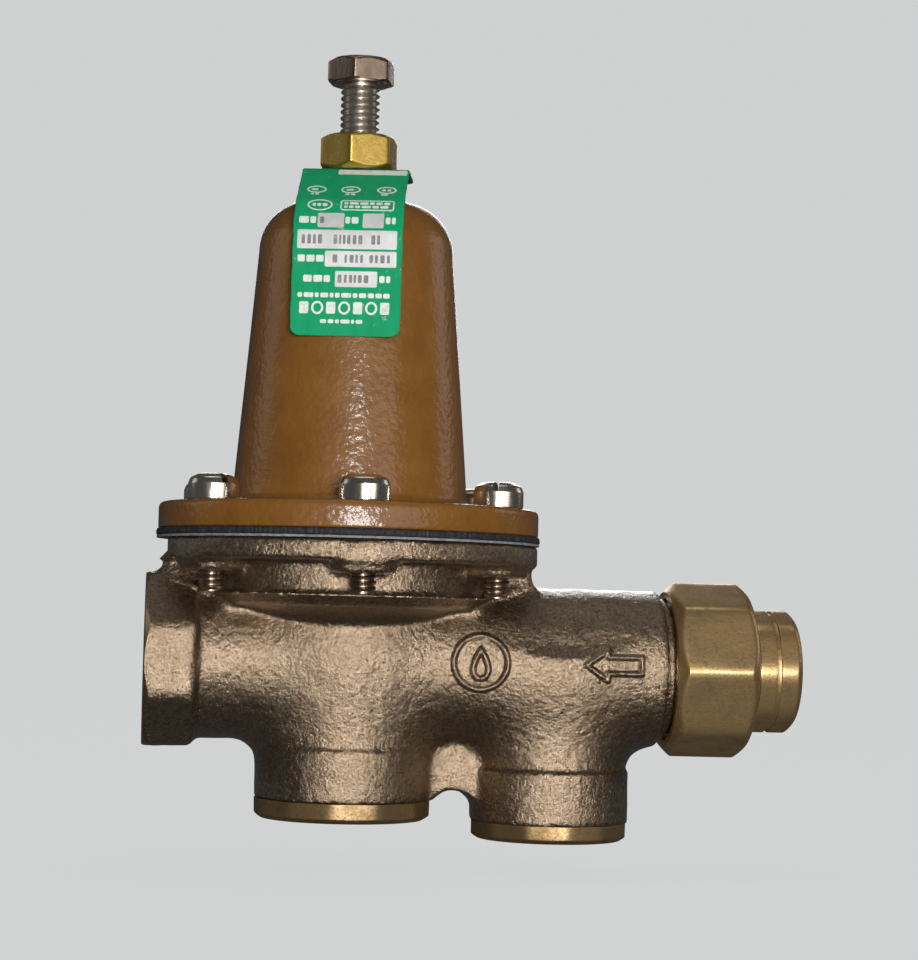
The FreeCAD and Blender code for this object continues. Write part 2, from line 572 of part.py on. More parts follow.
def union_tailpiece():
    """The union's tail: a flange, a grooved octagon with turned corners, and the inlet thread."""
    flange_end, octagon_start = TAIL_FLANGE_START + 3.4, NUT_END + 0.4
    blank = turned_on_pipe([(0, octagon_start - 1), (TAIL_CORNER_RADIUS, octagon_start - 1),
                            (TAIL_CORNER_RADIUS, TAIL_END - 1.3), (TAIL_FLATS / 2 - 1.2, TAIL_END),
                            (0, TAIL_END)])
    octagon = prism_on_pipe(8, TAIL_FLATS, octagon_start - 1, TAIL_END).common(blank)
    groove_x, groove_radius = STEM_X + 102.2, TAIL_FLATS / 2 - 0.02
    groove = turned_on_pipe([(groove_radius, groove_x), (16, groove_x - 0.9), (16, groove_x + 0.9)])
    barrel = turned_on_pipe([(0, TAIL_FLANGE_START), (TAIL_FLANGE_RADIUS, TAIL_FLANGE_START),
                             (TAIL_FLANGE_RADIUS, flange_end), (TAIL_FLATS / 2, flange_end),
                             (TAIL_FLATS / 2, octagon_start), (0, octagon_start)])
    return fused([octagon, barrel]).cut([
        groove,
        along_pipe(TAIL_FLANGE_START - 1, TAIL_END, WATERWAY_RADIUS),
        along_pipe(TAIL_END - PORT_DEPTH, TAIL_END + 1, PORT_RADIUS)])


def union_nut():
    """The octagonal union nut, coned at its outer end."""
    flat, corner = NUT_FLATS / 2, NUT_FLATS / 2 / math.cos(math.pi / 8)
    blank = turned_on_pipe([
        (0, NUT_START), (17.8, NUT_START), (flat + 0.3, NUT_START + 1.5), (corner, NUT_START + 2.8),
        (corner, NUT_END - 3.4), (flat, NUT_END - 2.4), (NUT_BORE_RADIUS + 0.5, NUT_END), (0, NUT_END)])
    shoulder = TAIL_FLANGE_START + 3.6
    return prism_on_pipe(8, NUT_FLATS, NUT_START, NUT_END).common(blank).cut([
        along_pipe(NUT_START - 1, shoulder, UNION_THREAD_RADIUS + 3 * SLIP),
        along_pipe(NUT_START, NUT_END + 1, NUT_BORE_RADIUS)])


def o_ring(x, flange_top, radius, section):
    """An O-ring lying in the groove of a plug's flange."""
    return Part.makeTorus(radius, section, Vector(x, 0, flange_top - section - 0.06))


PIECES = {
    "valve_body": valve_body,
    "spring_cage": spring_cage,
    "cage_screws": cage_screws,
    "diaphragm": diaphragm,
    "diaphragm_gasket": diaphragm_gasket,
    "adjusting_screw": adjusting_screw,
    "lock_nut": lock_nut,
    "name_tag": name_tag,
    "spring_button": spring_button,
    "adjusting_spring": adjusting_spring,
    "diaphragm_plate": diaphragm_plate,
    "diaphragm_washer": diaphragm_washer,
    "diaphragm_nut": diaphragm_nut,
    "valve_stem": valve_stem,
    "disc_holder": disc_holder,
    "seat_disc": seat_disc,
    "disc_nut": disc_nut,
    "seat_ring": seat_ring,
    "seat_gasket": seat_gasket,
    "stem_guide": stem_guide,
    "bottom_plug": bottom_plug,
    "bottom_plug_o_ring": lambda: o_ring(STEM_X, MAIN_COLLAR_BOTTOM, 18.3, 0.72),
    "strainer_plug": strainer_plug,
    "strainer_plug_o_ring": lambda: o_ring(STRAINER_X, STRAINER_COLLAR_BOTTOM, 16.1, 0.67),
    "strainer_screen": strainer_screen,
    "union_gasket": union_gasket,
    "union_tailpiece": union_tailpiece,
    "union_nut": union_nut,
}


os.makedirs("parts", exist_ok=True)
for name, make in PIECES.items():
    shape = make()
    shape.exportStep(os.path.join("parts", name + ".step"))
    print(f"{name:22s} solids {len(shape.Solids)}  valid {shape.isValid()}  {shape.Volume / 1000:8.3f} cm3")
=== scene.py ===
import json
import math
import random

import bmesh
import bpy
import numpy as np
import openvdb
from mathutils import Matrix, Vector
from mathutils.bvhtree import BVHTree

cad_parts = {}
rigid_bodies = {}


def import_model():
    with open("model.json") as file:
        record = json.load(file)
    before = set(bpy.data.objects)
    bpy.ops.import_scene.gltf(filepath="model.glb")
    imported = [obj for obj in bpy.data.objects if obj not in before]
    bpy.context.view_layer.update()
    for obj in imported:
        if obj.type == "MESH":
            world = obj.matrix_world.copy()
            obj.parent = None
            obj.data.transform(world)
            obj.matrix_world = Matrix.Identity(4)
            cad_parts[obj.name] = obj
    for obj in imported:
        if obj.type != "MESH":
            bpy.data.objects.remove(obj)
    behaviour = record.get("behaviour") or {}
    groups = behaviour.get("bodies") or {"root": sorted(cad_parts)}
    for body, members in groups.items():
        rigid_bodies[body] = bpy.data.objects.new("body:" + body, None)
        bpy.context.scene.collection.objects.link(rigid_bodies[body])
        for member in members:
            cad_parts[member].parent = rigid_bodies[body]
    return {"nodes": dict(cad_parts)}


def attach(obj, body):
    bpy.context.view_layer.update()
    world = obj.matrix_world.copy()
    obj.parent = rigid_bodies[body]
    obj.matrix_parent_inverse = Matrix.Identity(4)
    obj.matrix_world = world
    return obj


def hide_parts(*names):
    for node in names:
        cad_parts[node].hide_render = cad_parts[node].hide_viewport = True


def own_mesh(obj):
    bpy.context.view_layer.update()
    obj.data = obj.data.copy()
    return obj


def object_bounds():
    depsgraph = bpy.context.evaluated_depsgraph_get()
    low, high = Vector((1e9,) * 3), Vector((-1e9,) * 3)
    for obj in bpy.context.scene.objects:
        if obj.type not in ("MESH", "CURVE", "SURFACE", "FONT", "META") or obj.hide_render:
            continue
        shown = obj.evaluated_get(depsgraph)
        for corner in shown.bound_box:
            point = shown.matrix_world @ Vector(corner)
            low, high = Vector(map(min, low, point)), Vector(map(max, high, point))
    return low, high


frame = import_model()
packed_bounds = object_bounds()
rng = np.random.default_rng(7)
MM = 0.001
STEM = 47.5
STRAINER = 97.2
SCREW_ANGLES = [math.tau * k / 6 for k in range(6)]


# ---------------------------------------------------------------- meshes


def from_arrays(name, verts, faces, material, body, nodes=(), slot=None, sharp=32, weld=True):
    """A mesh object from vertices in mm."""
    mesh = bpy.data.meshes.new(name)
    mesh.from_pydata((np.asarray(verts, dtype=float) * MM).tolist(), [], [tuple(map(int, f)) for f in faces])
    if weld:
        work = bmesh.new()
        work.from_mesh(mesh)
        bmesh.ops.remove_doubles(work, verts=work.verts, dist=2e-6)
        bmesh.ops.dissolve_degenerate(work, edges=work.edges, dist=1e-7)
        bmesh.ops.recalc_face_normals(work, faces=work.faces)
        work.to_mesh(mesh)
        work.free()
    piece = bpy.data.objects.new(name, mesh)
    bpy.context.scene.collection.objects.link(piece)
    return finish_piece(piece, material, body, nodes, sharp)


def finish_piece(piece, material, body, nodes=(), sharp=32):
    mesh = piece.data
    if material is not None and not mesh.materials:
        mesh.materials.append(material)
    mesh.polygons.foreach_set("use_smooth", [True] * len(mesh.polygons))
    mesh.set_sharp_from_angle(angle=math.radians(sharp))
    if body:
        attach(piece, body)
    for node in nodes:
        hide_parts(node)
    return piece


def rounded(points, steps=4):
    """A closed outline of (r, z) or (r, z, corner radius) with its corners turned into arcs."""
    out = []
    count = len(points)
    for i, point in enumerate(points):
        here = np.array(point[:2], dtype=float)
        radius = point[2] if len(point) > 2 else 0.0
        before = np.array(points[i - 1][:2], dtype=float) - here
        after = np.array(points[(i + 1) % count][:2], dtype=float) - here
        size_b, size_a = np.linalg.norm(before), np.linalg.norm(after)
        if radius <= 0 or size_b < 1e-6 or size_a < 1e-6:
            out.append(tuple(here))
            continue
        before, after = before / size_b, after / size_a
        bend = math.acos(max(-1.0, min(1.0, float(before @ after))))
        if bend > math.pi - 0.02:
            out.append(tuple(here))
            continue
        reach = min(radius / math.tan(bend / 2), 0.48 * size_b, 0.48 * size_a)
        start, end = here + before * reach, here + after * reach
        for k in range(steps + 1):
            t = k / steps
            out.append(tuple((1 - t) ** 2 * start + 2 * t * (1 - t) * here + t ** 2 * end))
    return out


def subdivided(outline, step):
    """More points along an outline's long sides."""
    out = []
    for i, point in enumerate(outline):
        there = outline[(i + 1) % len(outline)]
        count = max(1, math.ceil(math.dist(point, there) / step))
        out += [(point[0] + (there[0] - point[0]) * k / count, point[1] + (there[1] - point[1]) * k / count)
                for k in range(count)]
    return out


def polygon_limit(theta, sides, flats, turn, power=70.0):
    """The radius of a polygon with slightly rounded corners, at each angle."""
    total = np.zeros_like(theta)
    for k in range(sides):
        normal = math.radians(turn + 180 / sides + 360 * k / sides)
        total += (np.maximum(0, np.cos(theta - normal)) / (flats / 2)) ** power
    return total ** (-1 / power)


def polygon_angles(sides, turn, per_side=16):
    """Angles crowded towards the corners."""
    half = math.pi / sides
    share = np.linspace(-1, 1, per_side + 1)[:-1]
    eased = np.sin(share * math.pi / 2)
    centres = np.radians(turn + 180 / sides + 360 * np.arange(sides) / sides)
    return (centres[:, None] + half * eased[None, :]).ravel()


def placed(axis, x, theta, r, h):
    """Points from angle, radius and height. The angle runs from the front."""
    if axis == "up":
        return np.stack([x + r * np.sin(theta), -r * np.cos(theta), h], axis=-1)
    return np.stack([h, -r * np.cos(theta), r * np.sin(theta)], axis=-1)


def lathe_arrays(outline, axis="up", x=STEM, count=144, polygon=None, wobble=None):
    """Vertices and faces of a closed outline of (r, height) turned about an axis."""
    outline = np.array(outline, dtype=float)
    theta = np.linspace(0, math.tau, count, endpoint=False)
    if polygon:
        theta = polygon_angles(polygon[0], polygon[2])
    rows, columns = len(outline), len(theta)
    r = np.repeat(outline[:, :1], columns, axis=1)
    h = np.repeat(outline[:, 1:2], columns, axis=1)
    t = np.repeat(theta[None, :], rows, axis=0)
    if polygon:
        limit = polygon_limit(theta, *polygon)[None, :]
        power = 70.0
        safe = np.maximum(r, 1e-6)
        r = np.where(r < 1e-6, 0, (safe ** -power + limit ** -power) ** (-1 / power))
    if wobble:
        r = r + wobble(t, r, h)
    verts = placed(axis, x, t, r, h).reshape(-1, 3)
    i = np.arange(rows)[:, None]
    j = np.arange(columns)[None, :]
    down, along = (i + 1) % rows, (j + 1) % columns
    faces = np.stack([i * columns + j, i * columns + along, down * columns + along, down * columns + j], axis=-1)
    if outline[0][0] < 1e-9 and outline[-1][0] < 1e-9:
        faces = faces[:-1]
    faces = faces.reshape(-1, 4)
    return verts, faces.tolist()


def thread_arrays(low, high, major, depth, pitch, axis="up", x=STEM, count=96, rows_per_turn=10, inner=None,
                  fade_low=1.0, fade_high=1.0, hand=1, taper=0.0):
    """A threaded cylinder, its rows following the thread. Closed by discs, or hollow with an inner radius."""
    step = pitch / rows_per_turn
    rows = math.ceil((high - low) / step) + rows_per_turn + 2
    theta = np.linspace(0, math.tau, count + 1)
    j = np.arange(-rows_per_turn, rows - rows_per_turn + 1)[:, None]
    h = low + j * step + hand * pitch * theta[None, :] / math.tau
    part = (j % rows_per_turn) / rows_per_turn
    groove = np.clip((1 - np.abs(2 * part - 1) - 0.14) / 0.70, 0, 1)
    fade = np.clip((h - low) / (fade_low * pitch), 0, 1) * np.clip((high - h) / (fade_high * pitch), 0, 1)
    h = np.clip(h, low, high)
    r = major - depth * (groove * fade + (1 - fade)) - taper * (h - low)
    t = np.repeat(theta[None, :], h.shape[0], axis=0)
    verts = placed(axis, x, t, r, h)
    rows, columns = h.shape
    blocks, faces = [verts.reshape(-1, 3)], []
    i, k = np.meshgrid(np.arange(rows - 1), np.arange(columns - 1), indexing="ij")
    quads = np.stack([i * columns + k, i * columns + k + 1, (i + 1) * columns + k + 1, (i + 1) * columns + k], -1)
    faces += quads.reshape(-1, 4).tolist()
    start = rows * columns
    ends = []
    for level in (low, high):
        ends.append((level, major - depth - taper * (level - low)))
    base = theta[:-1]
    for level, rim in ends:
        edge = placed(axis, x, base, np.full_like(base, rim), np.full_like(base, level))
        if inner is None:
            centre = placed(axis, x, np.zeros(1), np.zeros(1), np.full(1, level))
            blocks += [edge, centre]
            n = len(base)
            faces += [(start + k, start + (k + 1) % n, start + n) for k in range(n)]
            start += n + 1
        else:
            inside = placed(axis, x, base, np.full_like(base, inner), np.full_like(base, level))
            blocks += [edge, inside]
            n = len(base)
            faces += [(start + k, start + (k + 1) % n, start + n + (k + 1) % n, start + n + k) for k in range(n)]
            start += 2 * n
    if inner is not None:
        n = len(base)
        for level in (low, high):
            blocks.append(placed(axis, x, base, np.full_like(base, inner), np.full_like(base, level)))
        faces += [(start + k, start + (k + 1) % n, start + n + (k + 1) % n, start + n + k) for k in range(n)]
    return np.concatenate(blocks), faces


def merged(*parts):
    """Several (vertices, faces) as one."""
    verts, faces, start = [], [], 0
    for points, polygons in parts:
        verts.append(np.asarray(points, dtype=float))
        faces += [tuple(v + start for v in f) for f in polygons]
        start += len(points)
    return np.concatenate(verts), faces


def bored(piece, cutters, keep_material=False):
    """Cuts meshes out of a piece, each cutter lending its material to the cut."""
    for cutter in cutters:
        bpy.context.view_layer.update()
        change = piece.modifiers.new("bore", "BOOLEAN")
        change.operation = "DIFFERENCE"
        change.solver = "MANIFOLD"
        change.object = cutter
        change.material_mode = "INDEX" if keep_material else "TRANSFER"
        graph = bpy.context.evaluated_depsgraph_get()
        new = bpy.data.meshes.new_from_object(piece.evaluated_get(graph))
        piece.modifiers.clear()
        if not len(new.polygons):
            raise RuntimeError(f"{piece.name}: cut by {cutter.name} left nothing")
        old = piece.data
        piece.data = new
        bpy.data.meshes.remove(old)
        bpy.data.objects.remove(cutter)
    return piece


def loose(name, arrays, material=None):
    """An object that isn't a piece yet."""
    verts, faces = arrays
    mesh = bpy.data.meshes.new(name)
    mesh.from_pydata((np.asarray(verts, dtype=float) * MM).tolist(), [], [tuple(map(int, f)) for f in faces])
    work = bmesh.new()
    work.from_mesh(mesh)
    bmesh.ops.remove_doubles(work, verts=work.verts, dist=2e-6)
    bmesh.ops.dissolve_degenerate(work, edges=work.edges, dist=1e-7)
    bmesh.ops.recalc_face_normals(work, faces=work.faces)
    work.to_mesh(mesh)
    work.free()
    if material:
        mesh.materials.append(material)
    thing = bpy.data.objects.new(name, mesh)
    bpy.context.scene.collection.objects.link(thing)
    return thing


def rod(x, y, low, high, radius, count=48):
    """A plain vertical cylinder, for cutting."""
    verts, faces = lathe_arrays([(0, low), (radius, low), (radius, high), (0, high)], x=0, count=count)
    verts[:, 0] += x
    verts[:, 1] += y
    return verts, faces


def screw_rods(low, high, radius):
    return [rod(STEM + 38.1 * math.sin(a), -38.1 * math.cos(a), low, high, radius) for a in SCREW_ANGLES]


# ---------------------------------------------------------------- materials

class Nodes:
    """A material or world node tree with short ways to add what is needed."""

    def __init__(self, name):
        self.material = bpy.data.materials.new(name)
        self.material.use_nodes = True
        self.tree = self.material.node_tree
        self.tree.nodes.clear()
        out = self.tree.nodes.new("ShaderNodeOutputMaterial")
        self.shader = self.tree.nodes.new("ShaderNodeBsdfPrincipled")
        self.tree.links.new(self.shader.outputs[0], out.inputs[0])
        self.place = self.tree.nodes.new("ShaderNodeTexCoord").outputs["Object"]

    def link(self, source, target):
        if hasattr(source, "is_linked"):
            self.tree.links.new(source, target)
        else:
            target.default_value = source

    def set(self, **values):
        for key, value in values.items():
            self.link(value, self.shader.inputs[key.replace("_", " ")])
        return self

    def noise(self, scale, detail=4.0, rough=0.55, warp=0.0, stretch=None):
        node = self.tree.nodes.new("ShaderNodeTexNoise")
        node.inputs["Scale"].default_value = scale
        node.inputs["Detail"].default_value = detail
        node.inputs["Roughness"].default_value = rough
        node.inputs["Distortion"].default_value = warp
        self.tree.links.new(self.stretched(stretch), node.inputs["Vector"])
        return node.outputs["Fac"]

    def stretched(self, stretch):
        if not stretch:
            return self.place
        node = self.tree.nodes.new("ShaderNodeMapping")
        node.inputs["Scale"].default_value = stretch
        self.tree.links.new(self.place, node.inputs["Vector"])
        return node.outputs[0]

    def cells(self, scale, feature="F1", stretch=None):
        node = self.tree.nodes.new("ShaderNodeTexVoronoi")
        node.feature = feature
        node.inputs["Scale"].default_value = scale
        self.tree.links.new(self.stretched(stretch), node.inputs["Vector"])
        return node.outputs["Distance"]

    def level(self, source, low, high, out_low=0.0, out_high=1.0):
        """Maps a range onto another, held at both ends."""
        node = self.tree.nodes.new("ShaderNodeMapRange")
        self.tree.links.new(source, node.inputs["Value"])
        for key, value in (("From Min", low), ("From Max", high), ("To Min", out_low), ("To Max", out_high)):
            node.inputs[key].default_value = value
        return node.outputs[0]

    def math(self, what, a, b=None):
        node = self.tree.nodes.new("ShaderNodeMath")
        node.operation = what
        self.link(a, node.inputs[0])
        if b is not None:
            self.link(b, node.inputs[1])
        return node.outputs[0]

    def mix(self, share, first, second):
        node = self.tree.nodes.new("ShaderNodeMix")
        node.data_type = "RGBA"
        self.link(share, node.inputs[0])
        for socket, value in ((node.inputs[6], first), (node.inputs[7], second)):
            self.link(value if hasattr(value, "is_linked") else (*value[:3], 1.0), socket)
        return node.outputs[2]

    def bump(self, height, distance, strength=1.0, under=None):
        """A bump whose height is in mm."""
        node = self.tree.nodes.new("ShaderNodeBump")
        node.inputs["Strength"].default_value = strength
        node.inputs["Distance"].default_value = distance * MM
        self.tree.links.new(height, node.inputs["Height"])
        if under is not None:
            self.tree.links.new(under, node.inputs["Normal"])
        return node.outputs[0]

    def edges(self, low=0.5, high=0.56):
        """How convex the surface is, from 0 to 1."""
        node = self.tree.nodes.new("ShaderNodeNewGeometry")
        return self.level(node.outputs["Pointiness"], low, high)

    def facing(self, axis, low, high):
        """How far the surface faces along an axis, from 0 to 1."""
        node = self.tree.nodes.new("ShaderNodeSeparateXYZ")
        self.tree.links.new(self.tree.nodes.new("ShaderNodeTexCoord").outputs["Normal"], node.inputs[0])
        return self.level(node.outputs[axis], low, high)

    def height(self, axis, low, high):
        """Where the point lies along an axis in metres, from 0 to 1."""
        node = self.tree.nodes.new("ShaderNodeSeparateXYZ")
        self.tree.links.new(self.place, node.inputs[0])
        return self.level(node.outputs[axis], low, high)


def cast_bronze():
    """Sand-cast bronze, brown with age, its high grains rubbed bright."""
    n = Nodes("cast_bronze")
    grain = n.noise(1500, 5, 0.66)
    lumps = n.noise(560, 3, 0.5)
    patches = n.noise(60, 4, 0.6, 0.4)
    pits = n.level(n.cells(620), 0.05, 0.26)
    colour = n.mix(n.level(grain, 0.40, 0.66), (0.185, 0.112, 0.056), (0.350, 0.272, 0.182))
    colour = n.mix(n.level(patches, 0.45, 0.70, 0.0, 0.35), colour, (0.22, 0.132, 0.060))
    colour = n.mix(n.level(lumps, 0.32, 0.44, 0.30, 0.0), colour, (0.11, 0.058, 0.024))
    rough = n.math("ADD", n.level(grain, 0.3, 0.7, 0.24, 0.38), n.level(patches, 0.3, 0.7, -0.04, 0.05))
    normal = n.bump(n.noise(60, 2, 0.5), 0.5)
    normal = n.bump(lumps, 0.33, under=normal)
    normal = n.bump(pits, 0.05, under=normal)
    normal = n.bump(grain, 0.24, under=normal)
    n.set(Base_Color=colour, Roughness=rough, Metallic=0.95, Normal=normal)
    n.set(Coat_Weight=0.85, Coat_Roughness=0.26, Coat_IOR=1.6, Coat_Normal=normal)
    return n.material


def turned_bronze(name, axis, light=(0.50, 0.37, 0.21), dark=(0.24, 0.165, 0.085), rough=0.30, lines=0.012):
    """Bronze cut on a lathe: fine rings, stains and a few nicks."""
    n = Nodes(name)
    along = {"X": (2600, 60, 60), "Z": (60, 60, 2600)}[axis]
    rings = n.noise(1.0, 3, 0.6, stretch=along)
    stain = n.noise(90, 5, 0.65, 0.5)
    fine = n.noise(1500, 3, 0.6)
    colour = n.mix(n.level(stain, 0.35, 0.68), light, dark)
    colour = n.mix(n.level(fine, 0.60, 0.74, 0.0, 0.45), colour, tuple(0.45 * c for c in dark))
    roughness = n.math("ADD", n.level(stain, 0.3, 0.7, rough - 0.05, rough + 0.16), n.level(rings, 0.3, 0.7, -0.05, 0.06))
    normal = n.bump(rings, lines)
    normal = n.bump(fine, 0.03, under=normal)
    return n.set(Base_Color=colour, Roughness=roughness, Metallic=1.0, Normal=normal).material


def milled_bronze(name, light, dark, rough=0.34, pits=0.5, grain=0.05):
    """Bronze flats with a cast skin left in places."""
    n = Nodes(name)
    stain = n.noise(110, 5, 0.62, 0.6)
    streaks = n.noise(1.0, 4, 0.6, stretch=(240, 900, 900))
    spots = n.level(n.cells(330), 0.06, 0.30)
    fine = n.noise(1700, 4, 0.6)
    colour = n.mix(n.level(stain, 0.38, 0.66), light, dark)
    colour = n.mix(n.level(fine, 0.54, 0.70, 0.0, 0.55), colour, tuple(0.4 * c for c in dark))
    roughness = n.math("ADD", n.level(stain, 0.3, 0.7, rough - 0.06, rough + 0.14), n.level(fine, 0.3, 0.7, -0.05, 0.08))
    normal = n.bump(streaks, grain)
    normal = n.bump(spots, grain * pits, under=normal)
    normal = n.bump(fine, grain, under=normal)
    return n.set(Base_Color=colour, Roughness=roughness, Metallic=0.9, Normal=normal).material


def gold_paint():
    """Glossy golden-brown paint with a close orange peel."""
    n = Nodes("gold_brown_paint")
    peel = n.noise(680, 2, 0.45)
    flow = n.noise(45, 2, 0.5)
    flake = n.noise(2600, 2, 0.5)
    mottle = n.noise(120, 4, 0.6)
    colour = n.mix(n.level(mottle, 0.35, 0.65), (0.215, 0.090, 0.0130), (0.180, 0.070, 0.0085))
    colour = n.mix(n.level(flake, 0.60, 0.72, 0.0, 0.25), colour, (0.33, 0.16, 0.03))
    normal = n.bump(flow, 0.25)
    normal = n.bump(peel, 0.19, under=normal)
    inner = n.bump(flake, 0.02, under=normal)
    n.set(Base_Color=colour, Roughness=0.50, Metallic=0.0, Normal=inner, Specular_IOR_Level=0.3)
    n.set(Coat_Weight=0.55, Coat_Roughness=0.17, Coat_IOR=1.45, Coat_Normal=normal)
    return n.material


def steel(name, light, dark, rough, scratch=0.010, stain_at=(0.40, 0.70)):
    """Bright or oiled steel with rubbed patches and hairline scratches."""
    n = Nodes(name)
    stain = n.noise(160, 5, 0.62, 0.6)
    hair = n.noise(1.0, 3, 0.6, stretch=(1500, 1500, 180))
    fine = n.noise(2400, 3, 0.6)
    colour = n.mix(n.level(stain, *stain_at), light, dark)
    roughness = n.math("ADD", n.level(stain, 0.3, 0.7, rough, rough + 0.14), n.level(hair, 0.35, 0.7, -0.03, 0.06))
    normal = n.bump(hair, scratch)
    normal = n.bump(fine, scratch * 0.8, under=normal)
    return n.set(Base_Color=colour, Roughness=roughness, Metallic=1.0, Normal=normal).material


def green_enamel():
    n = Nodes("green_enamel")
    wear = n.noise(240, 5, 0.7, 0.3)
    scuff = n.noise(1.0, 4, 0.6, stretch=(500, 500, 90))
    fine = n.noise(1800, 3, 0.6)
    chips = n.math("MULTIPLY", n.level(wear, 0.63, 0.68), n.level(fine, 0.44, 0.56))
    colour = n.mix(n.level(scuff, 0.3, 0.7), (0.003, 0.320, 0.128), (0.006, 0.365, 0.155))
    colour = n.mix(chips, colour, (0.62, 0.64, 0.62))
    rough = n.math("ADD", n.level(scuff, 0.3, 0.7, 0.34, 0.46), n.level(fine, 0.3, 0.7, -0.03, 0.05))
    normal = n.bump(n.noise(55, 2, 0.5), 0.22)
    normal = n.bump(fine, 0.012, under=normal)
    return n.set(Base_Color=colour, Roughness=rough, Normal=normal, Specular_IOR_Level=0.12).material


def ink(name, colour, worn):
    """A flat printed colour, rubbed in places; the white one also paints a highlight across the tag's fold."""
    n = Nodes(name)
    wear = n.noise(700, 5, 0.7)
    shade = n.mix(n.level(wear, 0.48, 0.68, 0.0, 0.6), colour, worn)
    normal = n.bump(n.noise(1600, 3, 0.5), 0.012)
    return n.set(Base_Color=shade, Roughness=n.level(wear, 0.3, 0.7, 0.38, 0.55), Normal=normal).material


def bare_aluminium():
    n = Nodes("bare_aluminium")
    brush = n.noise(1.0, 4, 0.6, stretch=(300, 300, 2600))
    stain = n.noise(200, 4, 0.6)
    colour = n.mix(n.level(stain, 0.35, 0.7), (0.76, 0.77, 0.77), (0.60, 0.62, 0.62))
    normal = n.bump(brush, 0.012)
    return n.set(Base_Color=colour, Roughness=n.level(brush, 0.3, 0.7, 0.30, 0.46), Metallic=0.2,
                 Normal=normal).material


def rubber(name, weave=False):
    n = Nodes(name)
    fibre = n.noise(1.0, 4, 0.7, stretch=(1400, 1400, 500) if weave else None) if weave else n.noise(1400, 4, 0.6)
    dust = n.noise(300, 5, 0.7)
    colour = n.mix(n.level(fibre, 0.52, 0.72, 0.0, 0.6), (0.012, 0.013, 0.017), (0.060, 0.062, 0.075))
    colour = n.mix(n.level(dust, 0.62, 0.74, 0.0, 0.35), colour, (0.16, 0.12, 0.08))
    normal = n.bump(fibre, 0.10 if weave else 0.03)
    return n.set(Base_Color=colour, Roughness=n.level(dust, 0.3, 0.7, 0.62, 0.82), Normal=normal).material


def fibre_board():
    n = Nodes("gasket_fibre")
    fibre = n.noise(1.0, 5, 0.7, stretch=(700, 700, 1500))
    colour = n.mix(n.level(fibre, 0.35, 0.65), (0.30, 0.32, 0.33), (0.13, 0.14, 0.15))
    return n.set(Base_Color=colour, Roughness=n.level(fibre, 0.3, 0.7, 0.75, 0.92), Normal=n.bump(fibre, 0.05)).material


CAST = cast_bronze()
TURNED_X = turned_bronze("turned_bronze_x", "X")
TURNED_Z = turned_bronze("turned_bronze_z", "Z")
NUT_METAL = milled_bronze("union_bronze", (0.70, 0.49, 0.24), (0.46, 0.29, 0.12), 0.33, 0.5, 0.03)
PLUG_METAL = milled_bronze("plug_bronze", (0.36, 0.25, 0.13), (0.22, 0.140, 0.062), 0.42)
PAINT = gold_paint()
SCREW_STEEL = steel("bright_steel", (0.86, 0.80, 0.71), (0.70, 0.61, 0.49), 0.15)
BOLT_STEEL = steel("bolt_steel", (0.40, 0.31, 0.24), (0.25, 0.18, 0.13), 0.22, 0.02)
THREAD_STEEL = steel("thread_steel", (0.74, 0.70, 0.64), (0.52, 0.46, 0.39), 0.24, 0.015)
DARK_STEEL = steel("dark_steel", (0.30, 0.28, 0.26), (0.14, 0.12, 0.10), 0.32, 0.02)
SPRING_STEEL = steel("spring_steel", (0.34, 0.35, 0.38), (0.18, 0.18, 0.19), 0.30, 0.02)
MESH_STEEL = steel("mesh_steel", (0.66, 0.66, 0.66), (0.50, 0.50, 0.50), 0.26, 0.01)
BRASS = milled_bronze("yellow_brass", (0.54, 0.37, 0.095), (0.44, 0.29, 0.068), 0.26, 0.2, 0.018)
GREEN = green_enamel()
WHITE_INK_AND_HIGHLIGHT = ink("white_ink_and_painted_highlight", (0.80, 0.84, 0.80), (0.30, 0.55, 0.40))
STAMP = bare_aluminium()
STAMP_MARK = ink("stamp_mark", (0.20, 0.21, 0.20), (0.45, 0.47, 0.46))
DIAPHRAGM_RUBBER = rubber("diaphragm_rubber", True)
SEAL_RUBBER = rubber("seal_rubber")
FIBRE = fibre_board()


# ---------------------------------------------------------------- casting

def value_noise(shape, cell, seed):
    """Smooth random lumps over a grid, about -1 to 1, cell voxels apart."""
    source = np.random.default_rng(seed).uniform(-1, 1, [math.ceil(s / cell) + 2 for s in shape]).astype(np.float32)
    for axis, size in enumerate(shape):
        at = np.arange(size, dtype=np.float32) / cell
        low = at.astype(int)
        part = at - low
        part = part * part * (3 - 2 * part)
        form = [1, 1, 1]
        form[axis] = size
        part = part.reshape(form)
        source = np.take(source, low, axis) * (1 - part) + np.take(source, low + 1, axis) * part
    return source


def smooth_min(a, b, k):
    h = np.clip(0.5 + 0.5 * (b - a) / k, 0, 1)
    return b + (a - b) * h - k * h * (1 - h)


def smooth_max(a, b, k):
    return -smooth_min(-a, -b, k)


def surface_from(field, low, voxel, adaptivity=0.0):
    """A mesh of the zero surface of a field over a grid that starts at low."""
    grid = openvdb.FloatGrid(background=float(3 * voxel))
    grid.copyFromArray(np.ascontiguousarray(field, dtype=np.float32))
    points, triangles, quads = grid.convertToPolygons(isovalue=0.0, adaptivity=adaptivity)
    verts = points * voxel + np.array(low)
    return verts, [tuple(q) for q in quads] + [tuple(t) for t in triangles]


